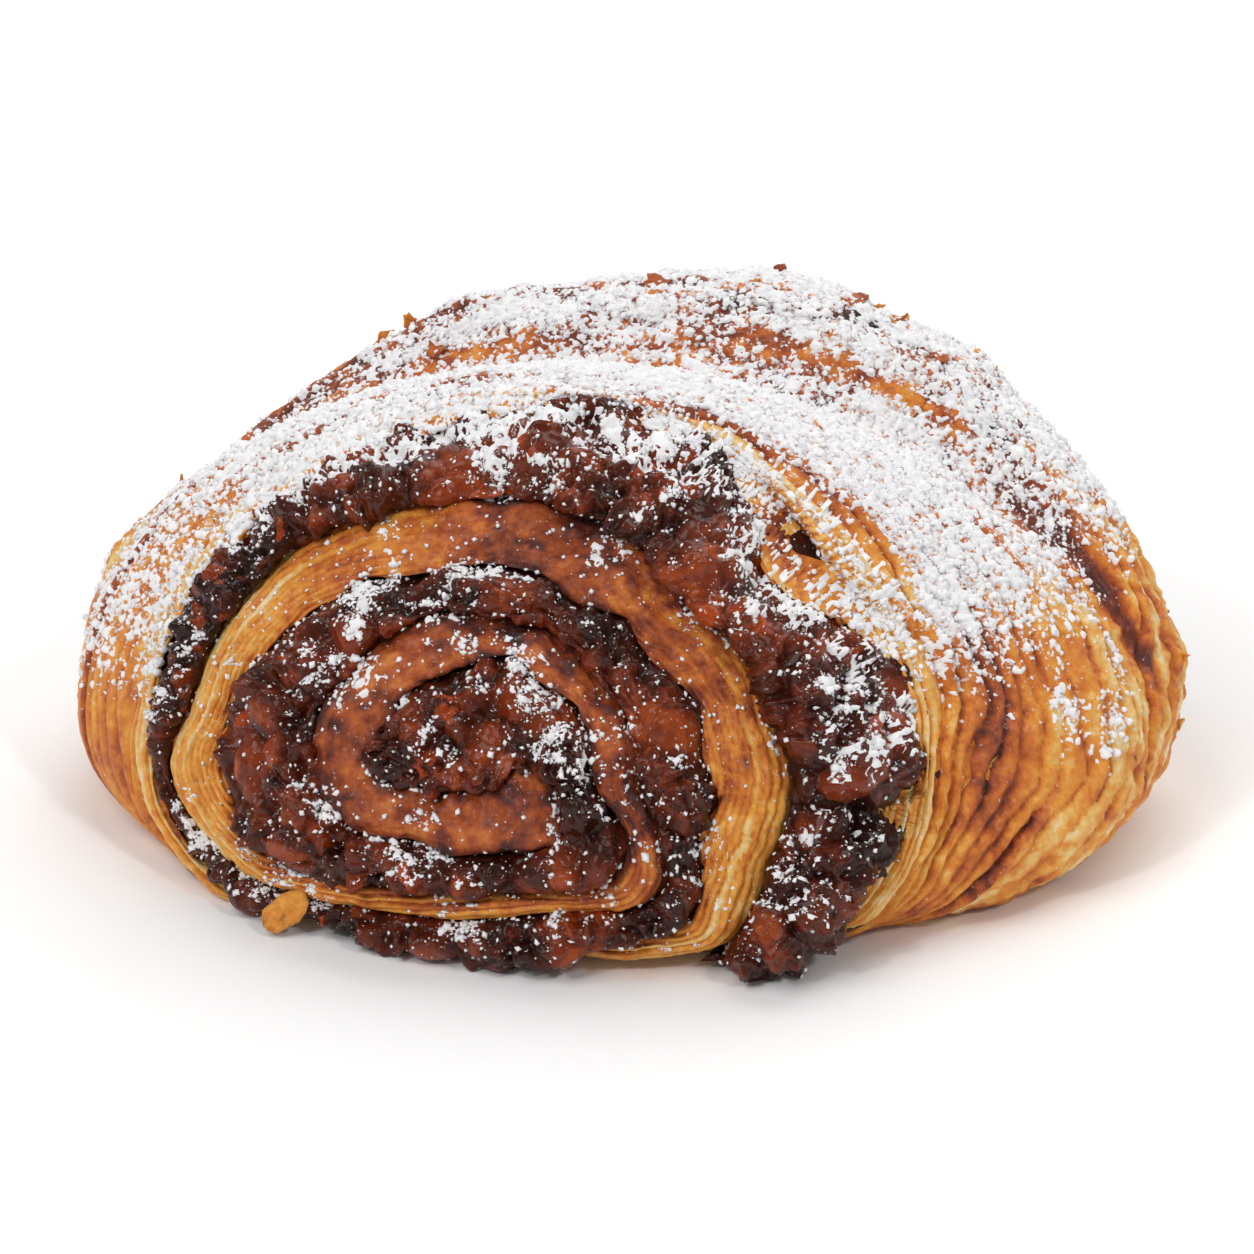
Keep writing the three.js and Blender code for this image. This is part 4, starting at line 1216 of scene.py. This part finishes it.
def skin(part, dough):
    """A stretch of the crust, which is the last turn of the dough."""
    return dough_surface(*SKIN_STRETCHES[part], *SKIN_ROWS, dough.pitch, dough.depth)


def swirl(part, dough):
    """A stretch of the dough inside the swirl."""
    return dough_surface(*SWIRL_STRETCHES[part], *SWIRL_ROWS, dough.pitch, dough.depth)


def filling_part(part, filling):
    """A stretch of the filling."""
    return filling_surface(*FILLING_STRETCHES[part], *FILLING_ROWS, filling.lump, filling.depth)


# ---- Operators ---------------------------------------------------------------------------------
# The numbers that the materials read at each point.
DOUGH_LABELS, FILLING_LABELS = ("tone", "rosy", "dust"), ("burn_and_shade", "amber", "dust")


class PASTRY_OT_crust(bpy.types.Operator):
    """The outside of the roll: the last turn of the dough"""
    bl_idname = "pastry.crust"
    bl_label = "Crust"

    def execute(self, context):
        dough = context.scene.pastry.dough
        for part in SKIN_STRETCHES:
            piece = sleeve_mesh(f"crust_{part}", skin(part, dough), DOUGH_LABELS, baked_dough(dough))
            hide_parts("dough")
        return {"FINISHED"}


class PASTRY_OT_swirl(bpy.types.Operator):
    """The dough inside the swirl, whose cut layers show at both ends"""
    bl_idname = "pastry.swirl"
    bl_label = "Swirl Dough"

    def execute(self, context):
        dough = context.scene.pastry.dough
        for part in SWIRL_STRETCHES:
            piece = sleeve_mesh(f"swirl_dough_{part}", swirl(part, dough), DOUGH_LABELS,
                                baked_dough(dough))
            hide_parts("dough")
        return {"FINISHED"}


class PASTRY_OT_filling(bpy.types.Operator):
    """The cinnamon filling between the turns of the dough"""
    bl_idname = "pastry.filling"
    bl_label = "Cinnamon Filling"

    def execute(self, context):
        filling = context.scene.pastry.filling
        for part in FILLING_STRETCHES:
            piece = sleeve_mesh(f"filling_{part}", filling_part(part, filling), FILLING_LABELS,
                                caramelised_filling(filling))
            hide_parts("cinnamon_filling")
        return {"FINISHED"}


class PASTRY_OT_sugar(bpy.types.Operator):
    """The caked sheet of icing sugar over the crust"""
    bl_idname = "pastry.sugar"
    bl_label = "Icing Sugar"

    def execute(self, context):
        pastry = context.scene.pastry
        dough, sugar = pastry.dough, pastry.sugar
        for name, (span, rows) in SUGAR_STRETCHES.items():
            layer = sugar_sheet(*span, *rows, SUGAR_STEP, sugar.clump, sugar.thick, dough.pitch, dough.depth)
            sheet_mesh(f"icing_sugar_{name}", layer, False, icing_sugar(sugar))
        parts = {f"swirl_{part}": swirl(part, dough) for part in SWIRL_STRETCHES}
        parts |= {f"filling_{part}": filling_part(part, pastry.filling) for part in FILLING_STRETCHES}
        for name, layer in parts.items():
            caught = face_sugar(layer, sugar.clump, sugar.thick)
            sheet_mesh(f"icing_sugar_{name}", caught, True, icing_sugar(sugar))
        return {"FINISHED"}


class PASTRY_OT_grains(bpy.types.Operator):
    """Loose clumps and grains of icing sugar"""
    bl_idname = "pastry.grains"
    bl_label = "Icing Sugar Grains"

    def execute(self, context):
        pastry = context.scene.pastry
        sugar = pastry.sugar
        rng = np.random.default_rng(GRAIN_SEED)
        parts = [skin(part, pastry.dough) for part in SKIN_STRETCHES]
        self.scatter("icing_sugar_clumps", icosahedron(), parts, clump_weight, sugar.clumps, CLUMP_RADII, rng)
        parts = ([swirl(part, pastry.dough) for part in SWIRL_STRETCHES]
                 + [filling_part(part, pastry.filling) for part in FILLING_STRETCHES])
        self.scatter("icing_sugar_grains", octahedron(), parts, grain_weight, sugar.grains, GRAIN_RADII, rng)
        return {"FINISHED"}

    def scatter(self, name, solid, parts, weight, count, radii, rng):
        """Shares the count over the parts by their summed weights, and lays a lump at each place."""
        weights = [weight(layer) for layer in parts]
        totals = np.array([w.sum() for w in weights])
        shares = np.round(totals / totals.sum() * count).astype(int)
        drawn = [pick(x, w, n, rng) for x, w, n in zip(parts, weights, shares)]
        centres = np.concatenate([d[0] for d in drawn])
        normals = np.concatenate([d[1] for d in drawn])
        radius = mix(*radii, rng.uniform(0, 1, len(centres)) ** MOSTLY_SMALL)
        centres = centres + rng.normal(size=centres.shape) * SCATTERED + normals * radius[:, None] * RAISED
        points, faces = lumps(solid, centres, normals, radius, LUMP_FLAT, rng)
        points[:, 2] = np.maximum(points[:, 2], 0)
        build_mesh(name, points, [faces], {}, icing_sugar(bpy.context.scene.pastry.sugar))


class PASTRY_OT_flakes(bpy.types.Operator):
    """Torn flakes standing on the crust"""
    bl_idname = "pastry.flakes"
    bl_label = "Pastry Flakes"

    def execute(self, context):
        pastry = context.scene.pastry
        rng = np.random.default_rng(FLAKE_SEED)
        parts = [skin(part, pastry.dough) for part in SKIN_STRETCHES]
        chosen = []
        for x in parts:
            weight = (x["side"] == 1) * smooth(x["row"], *FLAKE_ROWS) * smooth(x["q"], *FLAKES_FROM)
            weight = weight * (1 - smooth(x["q"], *FLAKES_TO))
            chosen.append(pick(x, weight, pastry.flakes.count // len(parts), rng))
        quarter, row, size, tilt, tone = np.array(LARGE_FLAKES).T
        spots_on = np.array([nearest(parts, q, r) for q, r in zip(quarter, row)])
        turn, side, lift, tongue_size, tongue_tone = TONGUE
        fillings = [filling_part(part, pastry.filling) for part in FILLING_STRETCHES]
        tongue = nearest(fillings, turn, 0, side)[0] - [0, lift, 0]
        centres = np.concatenate([c[0] for c in chosen] + [spots_on[:, 0], tongue[None]])
        normals = np.concatenate([c[1] for c in chosen] + [spots_on[:, 1], [TONGUE_FACING]])
        size, tilt, tone = np.append(size, tongue_size), np.append(tilt, 0.0), np.append(tone, tongue_tone)
        loose = len(centres) - len(size)
        sizes = np.concatenate([pastry.flakes.size * rng.uniform(0.5, 1.3, loose), size])
        tilts = np.concatenate([rng.uniform(0.02, 0.30, loose), tilt])
        points, faces = flake_solids(centres, normals, sizes, tilts, rng)
        tones = np.repeat(np.concatenate([rng.uniform(0.3, 0.6, loose), tone]), len(points) // len(centres))
        labels = {"tone": tones, "rosy": 0 * tones, "dust": 0 * tones}
        build_mesh("pastry_flakes", points, [faces], labels, baked_dough(pastry.dough))
        return {"FINISHED"}


# The stage, in metres: half the floor's side, the floor's depth under the part, the height that the
# lights and the camera are turned to, and how far below and to the left of it the camera aims, because
# the pastry's middle is a little above and right of the middle of the picture.
FLOOR_HALF, FLOOR_DROP, TARGET_HEIGHT, AIM_DOWN, AIM_LEFT = 6.0, 0.0002, 0.027, 0.0074, 0.00055
WORLD_STRENGTH = 0.32
LIGHTS = {      # place it shines from, angle of its disc in degrees, strength in watts a square metre
    "key": ((-0.45, -0.66, 1.10), 40, 0.96), "top": ((0.20, 0.74, 1.0), 60, 1.45),
    "glint_left": ((-0.35, -0.80, 0.75), 4, 0.40), "glint_right": ((0.70, -0.50, 0.80), 6, 0.50),
}


class PASTRY_OT_stage(bpy.types.Operator):
    """The white floor, the soft lights and the camera"""
    bl_idname = "pastry.stage"
    bl_label = "Stage"

    def execute(self, context):
        scene = context.scene
        settings = scene.pastry.stage
        world = bpy.data.worlds.new("studio")
        world.use_nodes = True
        background = world.node_tree.nodes["Background"]
        background.inputs["Color"].default_value = (1, 1, 1, 1)
        background.inputs["Strength"].default_value = WORLD_STRENGTH
        scene.world = world
        scene.view_settings.view_transform = "Standard"

        corners = [(x * FLOOR_HALF, y * FLOOR_HALF, 0) for x, y in ((-1, -1), (1, -1), (1, 1), (-1, 1))]
        mesh = bpy.data.meshes.new("floor")
        mesh.from_pydata(corners, [], [(0, 1, 2, 3)])
        mesh.materials.append(studio_floor(settings))
        floor = bpy.data.objects.new("floor", mesh)
        floor.location.z = -FLOOR_DROP
        scene.collection.objects.link(floor)

        target = Vector((SHIFT[0] * MM, SHIFT[1] * MM, TARGET_HEIGHT))
        for name, (spot, spread, strength) in LIGHTS.items():
            self.light(name, spot, target, spread, strength)

        a, e = settings.azimuth, settings.elevation
        back = Vector((np.sin(a) * np.cos(e), -np.cos(a) * np.cos(e), np.sin(e)))
        right = Vector((np.cos(a), np.sin(a), 0))
        up = back.cross(right)
        camera = bpy.data.objects.new("camera", bpy.data.cameras.new("camera"))
        camera.data.lens = settings.lens
        camera.data.clip_start = 0.01
        camera.location = target + settings.distance * back
        aim = target - up * AIM_DOWN - right * AIM_LEFT
        camera.rotation_euler = (aim - camera.location).to_track_quat("-Z", "Y").to_euler()
        scene.collection.objects.link(camera)
        scene.camera = camera
        return {"FINISHED"}

    def light(self, name, spot, target, spread, strength):
        """A far light, turned from its spot to the target, with a soft disc of the spread."""
        lamp = bpy.data.lights.new(name, "SUN")
        lamp.angle = np.radians(spread)
        lamp.energy = strength
        holder = bpy.data.objects.new(name, lamp)
        holder.location = spot
        holder.rotation_euler = (target - Vector(spot)).to_track_quat("-Z", "Y").to_euler()
        bpy.context.scene.collection.objects.link(holder)


class PASTRY_PT_panel(bpy.types.Panel):
    """The pastry's settings and operators"""
    bl_label = "Cinnamon Pastry"
    bl_idname = "PASTRY_PT_panel"
    bl_space_type = "VIEW_3D"
    bl_region_type = "UI"
    bl_category = "Pastry"

    def draw(self, context):
        pastry = context.scene.pastry
        for group in ("dough", "filling", "sugar", "flakes", "stage"):
            box = self.layout.box()
            box.label(text=group.capitalize())
            settings = getattr(pastry, group)
            for name in settings.__annotations__:
                box.prop(settings, name)
        for operator in OPERATORS:
            self.layout.operator(operator.bl_idname)


OPERATORS = (PASTRY_OT_crust, PASTRY_OT_swirl, PASTRY_OT_filling, PASTRY_OT_sugar, PASTRY_OT_grains,
             PASTRY_OT_flakes, PASTRY_OT_stage)
CLASSES = (DoughSettings, FillingSettings, SugarSettings, FlakeSettings, StageSettings, PastrySettings,
           *OPERATORS, PASTRY_PT_panel)


def register():
    """Registers the classes and puts the settings on the scene."""
    for cls in CLASSES:
        bpy.utils.register_class(cls)
    bpy.types.Scene.pastry = bpy.props.PointerProperty(type=PastrySettings)


def unregister():
    """Undoes what register does, in the opposite order."""
    del bpy.types.Scene.pastry
    for cls in reversed(CLASSES):
        bpy.utils.unregister_class(cls)


def main():
    """Builds the pastry and its stage."""
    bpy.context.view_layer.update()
    register()
    for operator in OPERATORS:
        getattr(bpy.ops.pastry, operator.bl_idname.removeprefix("pastry."))()


if __name__ == "__main__":
    main()
